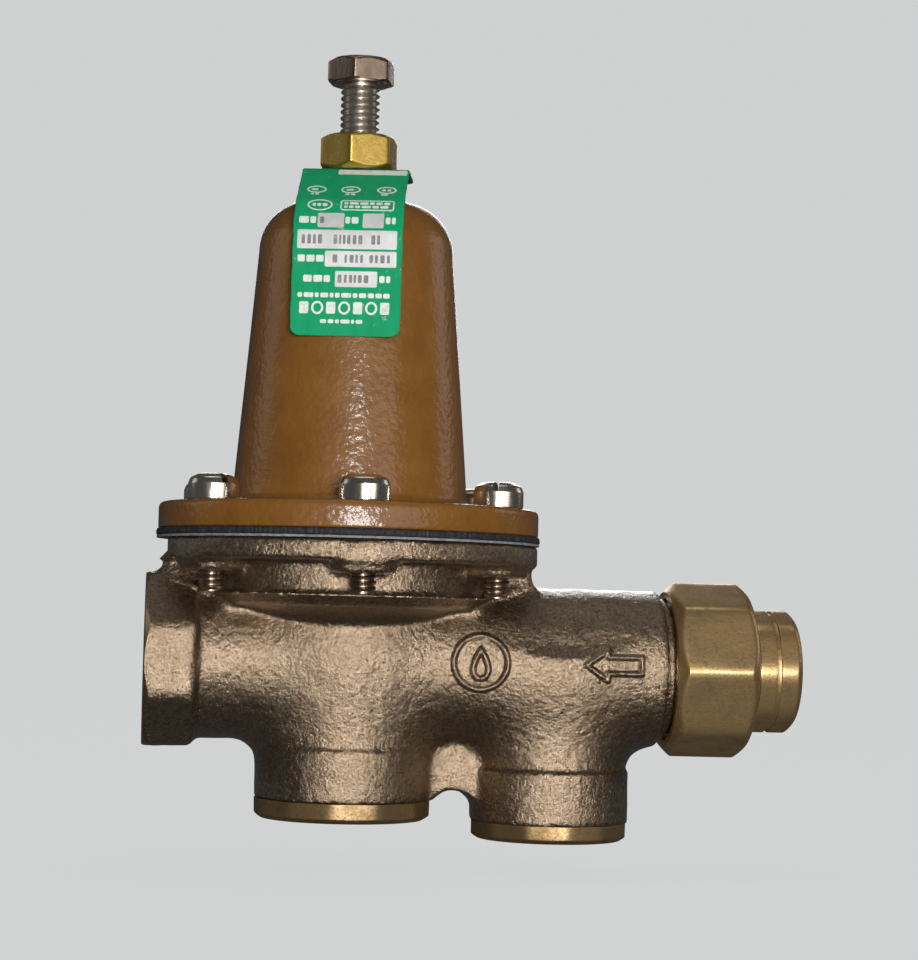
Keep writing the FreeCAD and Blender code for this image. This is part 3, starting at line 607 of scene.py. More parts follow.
def casting():
    voxel = 0.55
    low = np.array([-2.4, -46.4, -38.2])
    high = np.array([136.0, 46.4, 30.4])
    shape = np.ceil((high - low) / voxel).astype(int)
    x, y, z = [(low[i] + voxel * np.arange(shape[i], dtype=np.float32)).reshape([-1 if i == j else 1 for j in range(3)])
               for i in range(3)]
    around_pipe = np.sqrt(y * y + z * z)
    around_stem = np.sqrt((x - STEM) ** 2 + y * y)
    around_strainer = np.sqrt((x - STRAINER) ** 2 + y * y)

    def between(axis, a, b):
        return np.abs(axis - (a + b) / 2) - (b - a) / 2

    def post(around, radius, a, b, soft=0.8):
        return smooth_max(around - radius, between(z, a, b), soft)

    def tube(radius, a, b, soft=0.8):
        return smooth_max(around_pipe - radius, between(x, a, b), soft)

    body = smooth_min(tube(18.4, 4, STEM), tube(18.7, STEM - 1, 122.2, 1.2), 0.4)
    lower = smooth_min(post(around_stem, 20.2, -30, 12), post(around_strainer, 17.9, -30, 0), 1)
    body = smooth_min(body, lower, 8.0)
    octagon = around_pipe * 0 + x * 0 - 99
    for k in range(8):
        a = math.pi / 4 * k
        octagon = smooth_max(octagon, y * math.cos(a) + z * math.sin(a) - 20.1, 1.6)
    octagon = smooth_max(octagon, between(x, -2, 12), 2.2)
    octagon = smooth_max(octagon, around_pipe - (21.35 + 0.55 * np.minimum(12 - x, 3.0)), 0.8)
    body = smooth_min(body, octagon, 1.6)
    bowl = post(around_stem, 33.0, 13.2, 25, 3.0)
    bowl = smooth_min(bowl, smooth_max(around_stem - 25 - 2.2 * (z - 11.5), between(z, 10.0, 16), 0.8), 1.5)
    body = smooth_min(body, bowl, 3.2)
    rib = smooth_max(between(y, -9, 9), smooth_max(between(z, 4, 25), between(x, STEM - 43.2, STEM + 43.2), 2.5), 2.5)
    rib = smooth_max(rib, 11.5 - z, 1.0)
    body = smooth_min(body, rib, 4.0)
    flange = post(around_stem, 44.95, 23.5, 28.4, 1.1)
    pads = None
    for a in SCREW_ANGLES:
        away = np.sqrt((x - STEM - 38.1 * math.sin(a)) ** 2 + (y + 38.1 * math.cos(a)) ** 2)
        pad = smooth_max(away - 7.6, between(z, 20.7, 26), 1.4)
        pads = pad if pads is None else np.minimum(pads, pad)
    pads = smooth_max(pads, around_stem - 44.6, 1.0)
    body = smooth_min(body, smooth_min(flange, pads, 2.2), 1.6)
    body = smooth_min(body, post(around_stem, 20.75, -32.3, -19.9, 0.7), 0.9)
    body = smooth_min(body, post(around_strainer, 18.85, -36.9, -24.3, 0.7), 0.9)
    arch_x = (STEM + 20.7 + STRAINER - 18.8) / 2
    web = smooth_max(between(y, -6.5, 6.5), smooth_max(between(z, -32, 0), between(x, STEM + 8, STRAINER - 8), 1), 1)
    web = smooth_max(web, 5.4 - np.sqrt((x - arch_x) ** 2 + (z + 34.9) ** 2) + 0 * y, 1.2)
    body = smooth_min(body, web, 1.7)
    body = body + 0.10 * value_noise(shape, 5.0 / voxel, 3) + 0.055 * value_noise(shape, 1.9 / voxel, 4)
    body = np.maximum(body, z - 28.4)
    body = np.maximum(body, np.where(around_stem < 30, -32.0 - z, -99) + 0 * x)
    body = np.maximum(body, np.where(around_strainer < 24, -36.6 - z, -99) + 0 * x)
    spigot = smooth_max(around_pipe - 15.6, between(x, 118, 134.2), 0.5)
    slope = smooth_max(around_pipe - 17.0, np.maximum(between(x, 110, 124.2), (around_pipe - 17.0) + (x - 123.9)), 0.5)
    body = np.minimum(body, np.minimum(spigot, slope))

    def remove(shape_field):
        nonlocal body
        body = np.maximum(body, -shape_field)

    remove(np.maximum(around_stem - 30, between(z, 17.5, 40)))
    remove(np.maximum(around_stem - 11, between(z, 11, 19)))
    remove(smooth_max(around_stem - 13, between(z, -4, 12), 1.5))
    remove(np.maximum(around_pipe - 8, between(x, 12, STEM)))
    remove(np.maximum(around_stem - 8, between(z, -10, -3)))
    remove(smooth_max(around_stem - 15, between(z, -26, -9), 1.0))
    remove(np.maximum(around_stem - 16.56, between(z, -40, -25)))
    remove(np.maximum(around_pipe - 8, between(x, STRAINER, 150)))
    remove(np.maximum(around_strainer - 8, between(z, -9, 0)))
    remove(np.sqrt((x - STRAINER) ** 2 + y * y + z * z) - 8)
    remove(smooth_max(around_strainer - 13.5, between(z, -30, -8.5), 1.0))
    remove(np.maximum(around_strainer - 14.36, between(z, -44, -29)))
    remove(np.maximum(np.sqrt(y * y + (z + 13) ** 2) - 4.5, between(x, STEM + 10, STRAINER - 11)))
    for a in SCREW_ANGLES:
        away = np.sqrt((x - STEM - 38.1 * math.sin(a)) ** 2 + (y + 38.1 * math.cos(a)) ** 2)
        remove(np.maximum(away - 3.3, between(z, 14, 40)))
    arrays = surface_from(body, low, voxel)
    piece = loose("cast_body", arrays, CAST)
    slab = loose("slab", lathe_arrays([(0, -6), (40, -6), (40, 5.0), (25.6, 5.0), (20.2, 0.0), (0, 0.0)], "pipe",
                                      count=192), TURNED_X)
    port = loose("port", thread_arrays(-1.5, 16.0, 10.55, 1.15, 25.4 / 14, "pipe", fade_low=0.3, fade_high=1.2,
                                       taper=0.02), TURNED_X)
    mouth = loose("mouth", lathe_arrays([(0, -1.2), (11.9, -1.2), (11.2, 0.3), (9.6, 1.8), (0, 1.8)], "pipe"), TURNED_X)
    bored(piece, [slab, port, mouth])
    return finish_piece(piece, CAST, "housing", ["valve_body"], 40)


def mark_lines():
    """Straight pieces of the raised marks, each ((x, z), (x, z)), and rings (x, z, radius)."""
    ring_x, tip, tail = STEM + 29.9, STEM + 54.5, STEM + 68.0
    neck = tip + 5.4
    drop = [(ring_x + side * 2.5 * math.sin(a) * math.sin(a / 2) ** 1.3, 0.7 + 3.4 * math.cos(a))
            for side, a in [(1, math.pi * k / 12) for k in range(13)] + [(-1, math.pi * k / 12) for k in range(11, 0, -1)]]
    arrow = [(tip, 1.0), (neck, 4.6), (neck, 2.9), (tail, 2.9), (tail, -0.9), (neck, -0.9), (neck, -2.6)]
    lines = [(a, b) for shape in (drop, arrow) for a, b in zip(shape, shape[1:] + shape[:1])]
    return lines, (ring_x, 1.0, 6.3)


def cast_marks(body):
    """The ring with a water drop and the flow arrow, as ridges that follow the casting's front."""
    tree = BVHTree.FromObject(body, bpy.context.evaluated_depsgraph_get())
    lines, (ring_x, ring_z, ring_radius) = mark_lines()
    step = 0.2
    parts = []
    for x0, x1, z0, z1 in ((ring_x - 8, ring_x + 8, -7, 9), (STEM + 53, STEM + 69.5, -4.4, 6.4)):
        xs, zs = np.arange(x0, x1, step), np.arange(z0, z1, step)
        gx, gz = np.meshgrid(xs, zs, indexing="ij")
        near = np.abs(np.hypot(gx - ring_x, gz - ring_z) - ring_radius)
        for (ax, az), (bx, bz) in lines:
            t = np.clip(((gx - ax) * (bx - ax) + (gz - az) * (bz - az)) / ((bx - ax) ** 2 + (bz - az) ** 2), 0, 1)
            near = np.minimum(near, np.hypot(gx - ax - t * (bx - ax), gz - az - t * (bz - az)))
        wear = value_noise((len(xs), len(zs), 2), 1.6 / step, 9)[:, :, 0]
        rise = 0.74 * np.clip(1.15 - near / 0.95, 0, 1) ** 1.1 + 0.06 * wear
        rise = np.where(near < 1.15, np.clip(rise, 0, 0.8), 0) - 0.14
        ground = np.full(gx.shape, -18.0)
        for i in range(len(xs)):
            for k in range(len(zs)):
                hit = tree.ray_cast(Vector((xs[i] * MM, -0.04, zs[k] * MM)), Vector((0, 1, 0)))[0]
                if hit:
                    ground[i, k] = hit.y / MM
        front = np.stack([gx, ground - rise, gz], -1).reshape(-1, 3)
        back = np.stack([gx, ground + 0.6, gz], -1).reshape(-1, 3)
        keep = near[:-1, :-1] < 1.6
        rows, columns = gx.shape
        start = rows * columns
        faces, border = [], {}
        for i, k in zip(*np.nonzero(keep)):
            ring = [i * columns + k, (i + 1) * columns + k, (i + 1) * columns + k + 1, i * columns + k + 1]
            faces += [tuple(ring), tuple(v + start for v in ring[::-1])]
            for a, b in zip(ring, ring[1:] + ring[:1]):
                if border.pop((b, a), None) is None:
                    border[(a, b)] = True
        faces += [(b, a, a + start, b + start) for a, b in border]
        parts.append((np.concatenate([front, back]), faces))
    return from_arrays("cast_marks", *merged(*parts), CAST, "housing", ["valve_body"], "bronze_casting", 60)


def union_spigot():
    arrays = thread_arrays(124.4, 134.5, 16.95, 1.35, 25.4 / 11.5, "pipe", inner=15.3, fade_low=0.5, fade_high=0.7)
    return from_arrays("union_spigot", *arrays, TURNED_X, "housing", ["valve_body"], "bronze_casting", 40)


def cage():
    outline = rounded([
        (24.8, 30.62), (45.1, 30.62, 0.6), (45.1, 36.9, 1.7), (29.4, 36.9, 2.6), (27.9, 38.9, 2.0),
        (23.2, 97.5)], 6)[:-1]
    outline += [(23.2, 97.5)] + [(11.2 + 12 * math.cos(a), 97.5 + 12 * math.sin(a))
                                for a in np.linspace(0.08, math.pi / 2, 16)]
    outline += rounded([(11.2, 109.5), (8.5, 109.6, 0.8), (8.5, 114.0, 0.8), (5.75, 116.35, 0.3), (4.85, 116.35),
                        (4.85, 104.5, 0.8), (14, 104.5, 3.0), (20, 96.5, 2.0)], 5)[1:]
    lumps = [(rng.uniform(0, math.tau), rng.integers(3, 9), rng.uniform(0.03, 0.11), rng.uniform(0, math.tau))
             for _ in range(8)]

    def wobble(t, r, h):
        wave = sum(np.sin(n * t + p + f * (h - 60)) for p, n, f, _ in lumps)
        return np.where(h > 31.5, -0.03 * (1 + 0.3 * wave), 0)

    arrays = lathe_arrays(subdivided(outline, 2.2), count=192, wobble=wobble)
    piece = loose("cage_shell", arrays, PAINT)
    cutters = [loose("hole", hole, TURNED_Z) for hole in screw_rods(29, 40, 3.45)]
    vent = loose("vent", rod(0, 0, -20, 40, 1.6, 24), PAINT)
    vent.data.transform(Matrix.Translation((STEM * MM, 0, 0.048)) @ Matrix.Rotation(-math.pi / 2, 4, "X"))
    bored(piece, cutters + [vent])
    return finish_piece(piece, PAINT, "housing", ["spring_cage"], 38)


def flange_screws():
    parts = []
    for number, a in enumerate(SCREW_ANGLES):
        head = lathe_arrays(rounded([
            (0, 36.9), (5.85, 36.9, 0.25), (5.85, 40.6, 0.5), (5.35, 41.9, 1.2), (3.4, 42.85, 2.2), (0, 42.9)], 6),
            x=0, count=96)
        shank = thread_arrays(16.0, 37.2, 3.14, 0.52, 1.27, x=0, count=48, fade_low=0.8, fade_high=0.3)
        screw = loose("one_screw", merged(head), SCREW_STEEL)
        slot_box = bmesh.new()
        bmesh.ops.create_cube(slot_box, size=1.0)
        mesh = bpy.data.meshes.new("slot")
        slot_box.to_mesh(mesh)
        slot_box.free()
        mesh.transform(Matrix.Diagonal((0.03, 0.00135, 0.004, 1)))
        mesh.transform(Matrix.Translation((0, 0, 0.0427)))
        # The slot's walls take the darker bolt steel, which is painted shade inside the slot.
        mesh.materials.append(BOLT_STEEL)
        cutter = bpy.data.objects.new("slot", mesh)
        bpy.context.scene.collection.objects.link(cutter)
        bored(screw, [cutter])
        # The threaded shank takes the darker bolt steel, which is painted shade on the tips that stand out under the
        # flange.
        thread = loose("one_thread", shank, BOLT_STEEL)
        turn = Matrix.Translation((0.001 * (STEM + 38.1 * math.sin(a)), -0.0381 * math.cos(a), 0))
        screw.data.transform(turn @ Matrix.Rotation(math.radians(20 + 55 * number), 4, "Z"))
        thread.data.transform(turn @ Matrix.Rotation(math.radians(90 * number + 30), 4, "Z"))
        parts += [screw, thread]
    return joined("flange_screws", parts, "housing", ["cage_screws"], 34)


def joined(name, parts, body, nodes, sharp=34):
    """Several loose objects as one piece, each keeping its material."""
    work = bmesh.new()
    materials = []
    for part in parts:
        start = len(work.faces)
        work.from_mesh(part.data)
        work.faces.ensure_lookup_table()
        places = []
        for material in part.data.materials:
            if material not in materials:
                materials.append(material)
            places.append(materials.index(material))
        for face in work.faces[start:]:
            face.material_index = places[min(face.material_index, len(places) - 1)] if places else 0
        bpy.data.objects.remove(part)
    mesh = bpy.data.meshes.new(name)
    work.to_mesh(mesh)
    work.free()
    for material in materials:
        mesh.materials.append(material)
    piece = bpy.data.objects.new(name, mesh)
    bpy.context.scene.collection.objects.link(piece)
    return finish_piece(piece, None, body, nodes, sharp)


def adjusting_bolt():
    head = lathe_arrays(subdivided(rounded([
        (0, 138.25), (6.85, 138.25, 0.1), (6.85, 138.65), (7.9, 138.65), (8.5, 138.95, 0.1), (8.5, 143.1, 0.3),
        (6.9, 144.28, 0.4), (0, 144.28)], 3), 0.35), polygon=(6, 14.75, -16.0))
    shank = thread_arrays(94.0, 138.5, 4.75, 0.80, 1.5875, count=96, fade_low=1.6, fade_high=0.9)
    parts = [loose("head", head, BOLT_STEEL), loose("shank", shank, THREAD_STEEL)]
    return joined("adjusting_bolt", parts, "adjusting_screw", ["adjusting_screw"], 30)


def brass_nut():
    blank = lathe_arrays(subdivided(rounded([
        (4.80, 117.0), (7.9, 117.0, 0.3), (9.7, 118.5, 0.2), (9.7, 124.6, 0.2), (8.1, 125.58, 0.3), (5.5, 125.58, 0.2),
        (4.80, 124.9)], 3), 0.35), polygon=(6, 16.9, -17.5))
    return from_arrays("brass_lock_nut", *blank, BRASS, "lock_nut", ["lock_nut"], "yellow_brass", 30)


# ---------------------------------------------------------------- tag

def cage_radius(z):
    return 23.2 + (97.5 - z) / (97.5 - 38.6) * (27.9 - 23.2)


def tag_path(lift):
    """Points (outwards, z) along the tag from its back edge to its bottom edge, at a height above its inner face."""
    centre_out, centre_z = 11.2, 97.5
    across, drop, reach = centre_out - 6.5, 116.4 - centre_z, 12.35
    slope = math.atan2(drop, across) - math.asin(reach / math.hypot(across, drop))
    bend_out, bend_z = 6.5 - 2.5 * math.tan(slope / 2), 116.4 - 2.5
    points = [(o, 116.4 + lift) for o in np.linspace(-11.0, bend_out - 0.3, 18)]
    points += [(bend_out + (2.5 + lift) * math.sin(a), bend_z + (2.5 + lift) * math.cos(a))
               for a in np.linspace(0, slope, 8)]
    start = (centre_out + (reach + lift) * math.sin(slope), centre_z + (reach + lift) * math.cos(slope))
    last = points[-1]
    points += [(last[0] + (start[0] - last[0]) * t, last[1] + (start[1] - last[1]) * t)
               for t in np.linspace(0, 1, 6)[1:-1]]
    end = math.pi / 2 - 0.08
    points += [(centre_out + (reach + lift) * math.sin(a), centre_z + (reach + lift) * math.cos(a))
               for a in np.linspace(slope, end, 14)]
    foot = cage_radius(75.0) + 0.35 + lift
    last = points[-1]
    points += [(last[0] + (foot - last[0]) * t, last[1] + (75.0 - last[1]) * t) for t in np.linspace(0, 1, 30)[1:]]
    return np.array(points)


def path_lengths():
    middle = tag_path(0.3)
    return np.concatenate([[0], np.cumsum(np.linalg.norm(np.diff(middle, axis=0), axis=1))])


def on_tag(u, s, lift):
    """Places points on the tag from distance across, distance along the path and height above its inner face."""
    lengths, path = path_lengths(), tag_path(lift)
    out, z = np.interp(s, lengths, path[:, 0]), np.interp(s, lengths, path[:, 1])
    turn = math.radians(-10.0)
    x, y = u, -out
    return np.stack([STEM + x * math.cos(turn) - y * math.sin(turn), x * math.sin(turn) + y * math.cos(turn), z], -1)


def tag_plate():
    lengths = path_lengths()
    total = lengths[-1]
    corner = 2.2
    steps = np.unique(np.concatenate([lengths, corner * (1 - np.cos(np.linspace(0, math.pi / 2, 9))),
                                      total - corner * (1 - np.cos(np.linspace(0, math.pi / 2, 9)))]))
    inset = np.maximum(0, np.maximum(corner - steps, steps - (total - corner)))
    half = 12.7 - corner + np.sqrt(np.maximum(corner ** 2 - inset ** 2, 1e-4))
    half = half - 0.05 * np.sin(steps * 0.9) * (inset <= 0) - 0.05
    across = np.linspace(-1, 1, 15)
    loops = []
    for lift, shrink in ((0.0, 0.18), (0.16, 0.0), (0.44, 0.0), (0.6, 0.18)):
        loops.append((lift, shrink))
    rows = []
    for s, wide in zip(steps, half):
        ring = [on_tag(across * (wide - loops[0][1]), np.full(15, s), 0.0)]
        for lift, shrink in loops[1:3]:
            ring.append(on_tag(np.array([wide]), np.array([s]), lift))
        ring.append(on_tag(across[::-1] * (wide - loops[3][1]), np.full(15, s), 0.6))
        for lift in (0.44, 0.16):
            ring.append(on_tag(np.array([-wide]), np.array([s]), lift))
        rows.append(np.concatenate(ring))
    rows = np.array(rows)
    count, around = rows.shape[:2]
    faces = [(i * around + k, i * around + (k + 1) % around, (i + 1) * around + (k + 1) % around, (i + 1) * around + k)
             for i in range(count - 1) for k in range(around)]
    faces += [tuple(range(around))[::-1], tuple((count - 1) * around + k for k in range(around))]
    plate = loose("tag_plate", (rows.reshape(-1, 3), faces), GREEN)
    hole = loose("tag_hole", rod(STEM, 0, 112, 120, 5.16, 64), STAMP)
    bored(plate, [hole])
    return finish_piece(plate, GREEN, "name_tag", ["name_tag"], 40)


def patch(u, v, lift=0.6, thick=0.04):
    """A thin closed patch on the tag with any convex outline, v measured up from the bottom edge."""
    u, s = np.array(u, dtype=float), path_lengths()[-1] - np.array(v, dtype=float)
    n = len(u)
    verts = np.concatenate([
        on_tag(u, s, lift - 0.02), on_tag(u, s, lift + thick),
        on_tag(u[:1] * 0 + u.mean(), s[:1] * 0 + s.mean(), lift + thick),
        on_tag(u[:1] * 0 + u.mean(), s[:1] * 0 + s.mean(), lift - 0.02)])
    faces = [(k, (k + 1) % n, n + (k + 1) % n, n + k) for k in range(n)]
    faces += [(n + k, n + (k + 1) % n, 2 * n) for k in range(n)]
    faces += [((k + 1) % n, k, 2 * n + 1) for k in range(n)]
    return verts, faces


def ribbon(u, v, width, lift=0.6, thick=0.04):
    """A thin closed line of a given width round a closed outline on the tag."""
    points = np.stack([np.array(u, dtype=float), np.array(v, dtype=float)], -1)
    n = len(points)
    along = np.roll(points, -1, 0) - np.roll(points, 1, 0)
    along /= np.linalg.norm(along, axis=1)[:, None]
    side = np.stack([-along[:, 1], along[:, 0]], -1) * width / 2
    total = path_lengths()[-1]
    rings = []
    for edge, height in ((points - side, lift - 0.02), (points - side, lift + thick), (points + side, lift + thick),
                         (points + side, lift - 0.02)):
        rings.append(on_tag(edge[:, 0], total - edge[:, 1], height))
    faces = [(r * n + k, r * n + (k + 1) % n, ((r + 1) % 4) * n + (k + 1) % n, ((r + 1) % 4) * n + k)
             for r in range(4) for k in range(n)]
    return np.concatenate(rings), faces


def bar(u0, u1, v0, v1, lift=0.6, thick=0.04):
    """A thin filled bar that follows the tag's bend, its ends a little rounded."""
    total = path_lengths()[-1]
    rows = max(2, math.ceil((v1 - v0) / 0.5) + 1)
    ease = min(0.22, (v1 - v0) / 4, (u1 - u0) / 4)
    v = np.concatenate([[v0], np.linspace(v0 + ease, v1 - ease, rows), [v1]])
    inset = np.zeros(len(v))
    inset[[0, -1]] = ease
    verts = []
    for height, cut in zip(v, inset):
        ends, s = np.array([u0 + cut, u1 - cut]), np.full(2, total - height)
        verts += [on_tag(ends, s, lift - 0.02), on_tag(ends, s, lift + thick)]
    faces = []
    for k in range(len(v) - 1):
        a, b = 4 * k, 4 * (k + 1)
        faces += [(a, a + 1, b + 1, b), (a + 2, b + 2, b + 3, a + 3), (a, b, b + 2, a + 2),
                  (a + 1, a + 3, b + 3, b + 1)]
    last = 4 * (len(v) - 1)
    faces += [(0, 2, 3, 1), (last, last + 1, last + 3, last + 2)]
    return np.concatenate(verts), faces


def frame_of(u0, u1, v0, v1, width, corner=0.6):
    """The outline of a rounded box as points close together."""
    outline = subdivided(rounded([(u0, v0, corner), (u1, v0, corner), (u1, v1, corner), (u0, v1, corner)], 4), 0.6)
    points = np.array(outline)
    return ribbon(points[:, 0], points[:, 1], width)


def oval(u, v, half_u, half_v, width=None):
    a = np.linspace(0, math.tau, 28, endpoint=False)
    points = u + half_u * np.cos(a), v + half_v * np.sin(a)
    return ribbon(*points, width) if width else patch(*points)


def writing(u0, u1, v0, v1, seed, gap=0.35):
    """A row of small plain dashes, with nothing to read."""
    dice = random.Random(seed)
    out, at = [], u0
    while at < u1 - 0.5:
        size = min(dice.uniform(0.7, 2.3), u1 - at)
        out.append(bar(at, at + size, v0, v1))
        at += size + gap
    return out


def tag_print():
    total = path_lengths()[-1]
    white, silver, dark = [], [], []
    # A white bar across the fold, below the nut, is a painted highlight standing in for the shine on the cage's boss.
    # It is not print.
    white.append(bar(-4.0, 12.3, total - 20.6, total - 18.3))
    for u in (-8.3, -0.3, 8.1):
        white.append(oval(u, 38.6, 2.1, 1.5, 0.42))
        white += writing(u - 1.1, u + 1.1, 38.2, 39.0, int(u + 20))
        white += writing(u - 1.2, u + 1.2, 36.0, 36.6, int(u + 40))
    white.append(oval(-6.9, 31.6, 2.75, 1.75, 0.36))
    white += writing(-8.6, -5.2, 31.1, 32.1, 31)
    white.append(frame_of(-2.0, 10.2, 30.0, 33.2, 0.32))
    white += writing(-1.3, 9.7, 31.8, 32.6, 1)
    white += writing(-1.3, 9.7, 30.6, 31.4, 32)
    for low, high, v0, v1, seed in ((-11.4, -7.5, 26.3, 28.0, 2), (-0.7, 2.8, 26.3, 28.0, 3), (8.6, 11.7, 26.3, 28.0, 4),
                                    (-11.4, -5.4, 17.2, 18.8, 5), (-9.9, -3.3, 12.5, 14.1, 6), (7.6, 10.7, 12.5, 14.1, 7),
                                    (-11.1, 10.7, 8.9, 10.0, 8), (-5.7, 4.7, 2.9, 3.8, 9)):
        white += writing(low, high, v0, v1, seed)
    for u0, u1, v0, v1 in ((-7.1, -1.0, 25.3, 29.0), (3.3, 8.2, 25.3, 29.0), (-11.6, 11.4, 20.3, 24.7),
                           (-5.1, 11.4, 16.1, 19.8), (-2.6, 7.1, 11.4, 15.1)):
        silver.append(bar(u0, u1, v0, v1))
    for k in range(7):
        white.append(bar(-10.6 + 3.1 * k, -8.5 + 3.1 * k, 5.1, 7.9) if k % 2 == 0
                     else oval(-9.55 + 3.1 * k, 6.5, 1.15, 1.3, 0.5))
    dice = random.Random(11)
    for u0, u1, v, size in ((-10.6, 10.4, 22.5, 2.2), (-4.4, 10.6, 18.0, 1.9), (-2.0, 6.5, 13.3, 1.9), (-6.6, -1.6, 27.1, 1.7)):
        at = u0
        while at < u1 - 1:
            wide = dice.uniform(0.5, 1.1)
            if dice.random() < 0.72:
                dark.append(bar(at, at + wide, v - size / 2, v + size / 2, 0.62, 0.05))
            at += wide + dice.uniform(0.35, 0.6)
    pieces = []
    for name, parts, material in (("tag_white_print_and_painted_highlight", white, WHITE_INK_AND_HIGHLIGHT), ("tag_stamped_boxes", silver, STAMP),
                                  ("tag_stamp_marks", dark, STAMP_MARK)):
        pieces.append(from_arrays(name, *merged(*parts), material, "name_tag", ["name_tag"], "tag_enamel", 40,
                                  weld=False))
    return pieces


# ---------------------------------------------------------------- diaphragm, spring and screen

def ragged_diaphragm():
    """The rubber sheet, its cut edge frayed between the flanges."""
    dice = np.random.default_rng(21)
    count = 900
    theta = np.linspace(0, math.tau, count, endpoint=False)
    coarse = np.interp(theta, np.linspace(0, math.tau, 90), dice.uniform(-1, 1, 90), period=math.tau)
    rim = 45.38 + 0.12 * coarse + 0.13 * dice.uniform(-1, 1, count)
    rows = []
    for z, back in ((28.92, 0.32), (29.15, 0.10), (29.55, 0.0), (30.0, 0.04), (30.35, 0.12), (30.58, 0.34)):
        jitter = 0.10 * dice.uniform(-1, 1, count)
        rows.append((z, np.minimum(rim - back + jitter, 45.66)))
    rings = [(28.92, np.full(count, 24.0))] + rows + [(30.58, np.full(count, 24.0))]
    verts = np.concatenate([placed("up", STEM, theta, r, np.full(count, z)) for z, r in rings])
    n = len(rings)
    faces = [(a * count + k, a * count + (k + 1) % count, ((a + 1) % n) * count + (k + 1) % count,
              ((a + 1) % n) * count + k) for a in range(n) for k in range(count)]
    sheet = loose("sheet", (verts, faces), DIAPHRAGM_RUBBER)
    bored(sheet, [loose("hole", hole, DIAPHRAGM_RUBBER) for hole in screw_rods(27, 32, 3.4)])
    hairs = []
    for _ in range(150):
        a = dice.uniform(0, math.tau)
        z = dice.uniform(29.1, 30.4)
        length, lean, rise = dice.uniform(0.5, 2.2), dice.uniform(-1, 1), dice.uniform(-0.12, 0.12)
        path = []
        for t in np.linspace(0, 1, 6):
            out = 45.15 + 0.42 * math.sin(math.pi * (0.15 + 0.8 * t))
            path.append((a + lean * length * t / 45, out, z + rise * t * length))
        hairs.append(thread_tube(path, 0.045))
    fuzz = loose("fuzz", merged(*hairs), DIAPHRAGM_RUBBER)
    middle = rounded([(4.1, 28.92), (24.0, 28.92), (24.0, 30.58), (4.1, 30.58)])
    from_arrays("diaphragm_middle", *lathe_arrays(subdivided(middle, 2.0)), DIAPHRAGM_RUBBER, "stem", ["diaphragm"],
                "diaphragm_rubber")
    return joined("diaphragm_sheet", [sheet, fuzz], "housing", ["diaphragm"], 50)


def thread_tube(path, radius, sides=5):
    """A fine tube through points (angle, distance from the stem, z)."""
    rings = []
    for a, out, z in path:
        around = np.linspace(0, math.tau, sides, endpoint=False)
        rings.append(placed("up", STEM, np.full(sides, a), out + radius * np.cos(around), z + radius * np.sin(around)))
    count = len(rings)
    faces = [(i * sides + k, i * sides + (k + 1) % sides, (i + 1) * sides + (k + 1) % sides, (i + 1) * sides + k)
             for i in range(count - 1) for k in range(sides)]
    faces += [tuple(range(sides))[::-1], tuple((count - 1) * sides + k for k in range(sides))]
    return np.concatenate(rings), faces


def coil_spring():
    """The adjusting spring, its ends ground flat."""
    low, high, turns, mean, wire = 33.0, 91.0, 7.5, 13.75, 3.5
    steps, around = 60 * 8, 20
    t = np.linspace(0, turns, steps)
    lead = low + 0.25 * wire + (high - low - 0.5 * wire) * np.clip(t / turns, 0, 1)
    section = np.linspace(0, math.tau, around, endpoint=False)
    r = mean + wire / 2 * np.cos(section)[None, :] + 0 * t[:, None]
    z = lead[:, None] + wire / 2 * np.sin(section)[None, :]
    z = np.clip(z, low, high)
    angle = np.repeat((t * math.tau)[:, None], around, axis=1)
    verts = placed("up", STEM, -angle, r, z).reshape(-1, 3)
    faces = [(i * around + k, i * around + (k + 1) % around, (i + 1) * around + (k + 1) % around, (i + 1) * around + k)
             for i in range(steps - 1) for k in range(around)]
    faces += [tuple(range(around))[::-1], tuple((steps - 1) * around + k for k in range(around))]
    piece = from_arrays("coil_spring", verts, faces, SPRING_STEEL, "stem", ["adjusting_spring"], "spring_steel", 40,
                        weld=False)
    work = bmesh.new()
    work.from_mesh(piece.data)
    bmesh.ops.recalc_face_normals(work, faces=work.faces)
    work.to_mesh(piece.data)
    work.free()
    return piece


def woven_screen():
    """The strainer's mesh tube between two solid end bands."""
    radius, low, high = 9.7, -34.7, -8.9
    parts = []
    for a, b in ((low, low + 2.2), (high - 2.2, high)):
        parts.append(lathe_arrays(rounded([(9.35, a), (10.0, a, 0.15), (10.0, b, 0.15), (9.35, b)], 2), x=STRAINER,
                                  count=72))
    wires, rings = 48, 30
    for k in range(wires):
        a = math.tau * k / wires
        zs = np.linspace(low + 1.8, high - 1.8, 90)
        rs = radius + 0.13 * np.cos(np.pi * (np.arange(90) / 3 + k))
        parts.append(screen_wire([(a, r, z) for r, z in zip(rs, zs)], False))
    for j in range(rings):
        z = low + 2.6 + (high - low - 5.2) * j / (rings - 1)
        around = np.linspace(0, math.tau, wires * 3, endpoint=False)
        rs = radius - 0.13 * np.cos(np.pi * (np.arange(wires * 3) / 3 + j))
        parts.append(screen_wire([(a, r, z) for a, r in zip(around, rs)], True))
    piece = from_arrays("woven_screen", *merged(*parts), MESH_STEEL, "strainer", ["strainer_screen"], "steel_mesh", 50,
                        weld=False)
    return piece


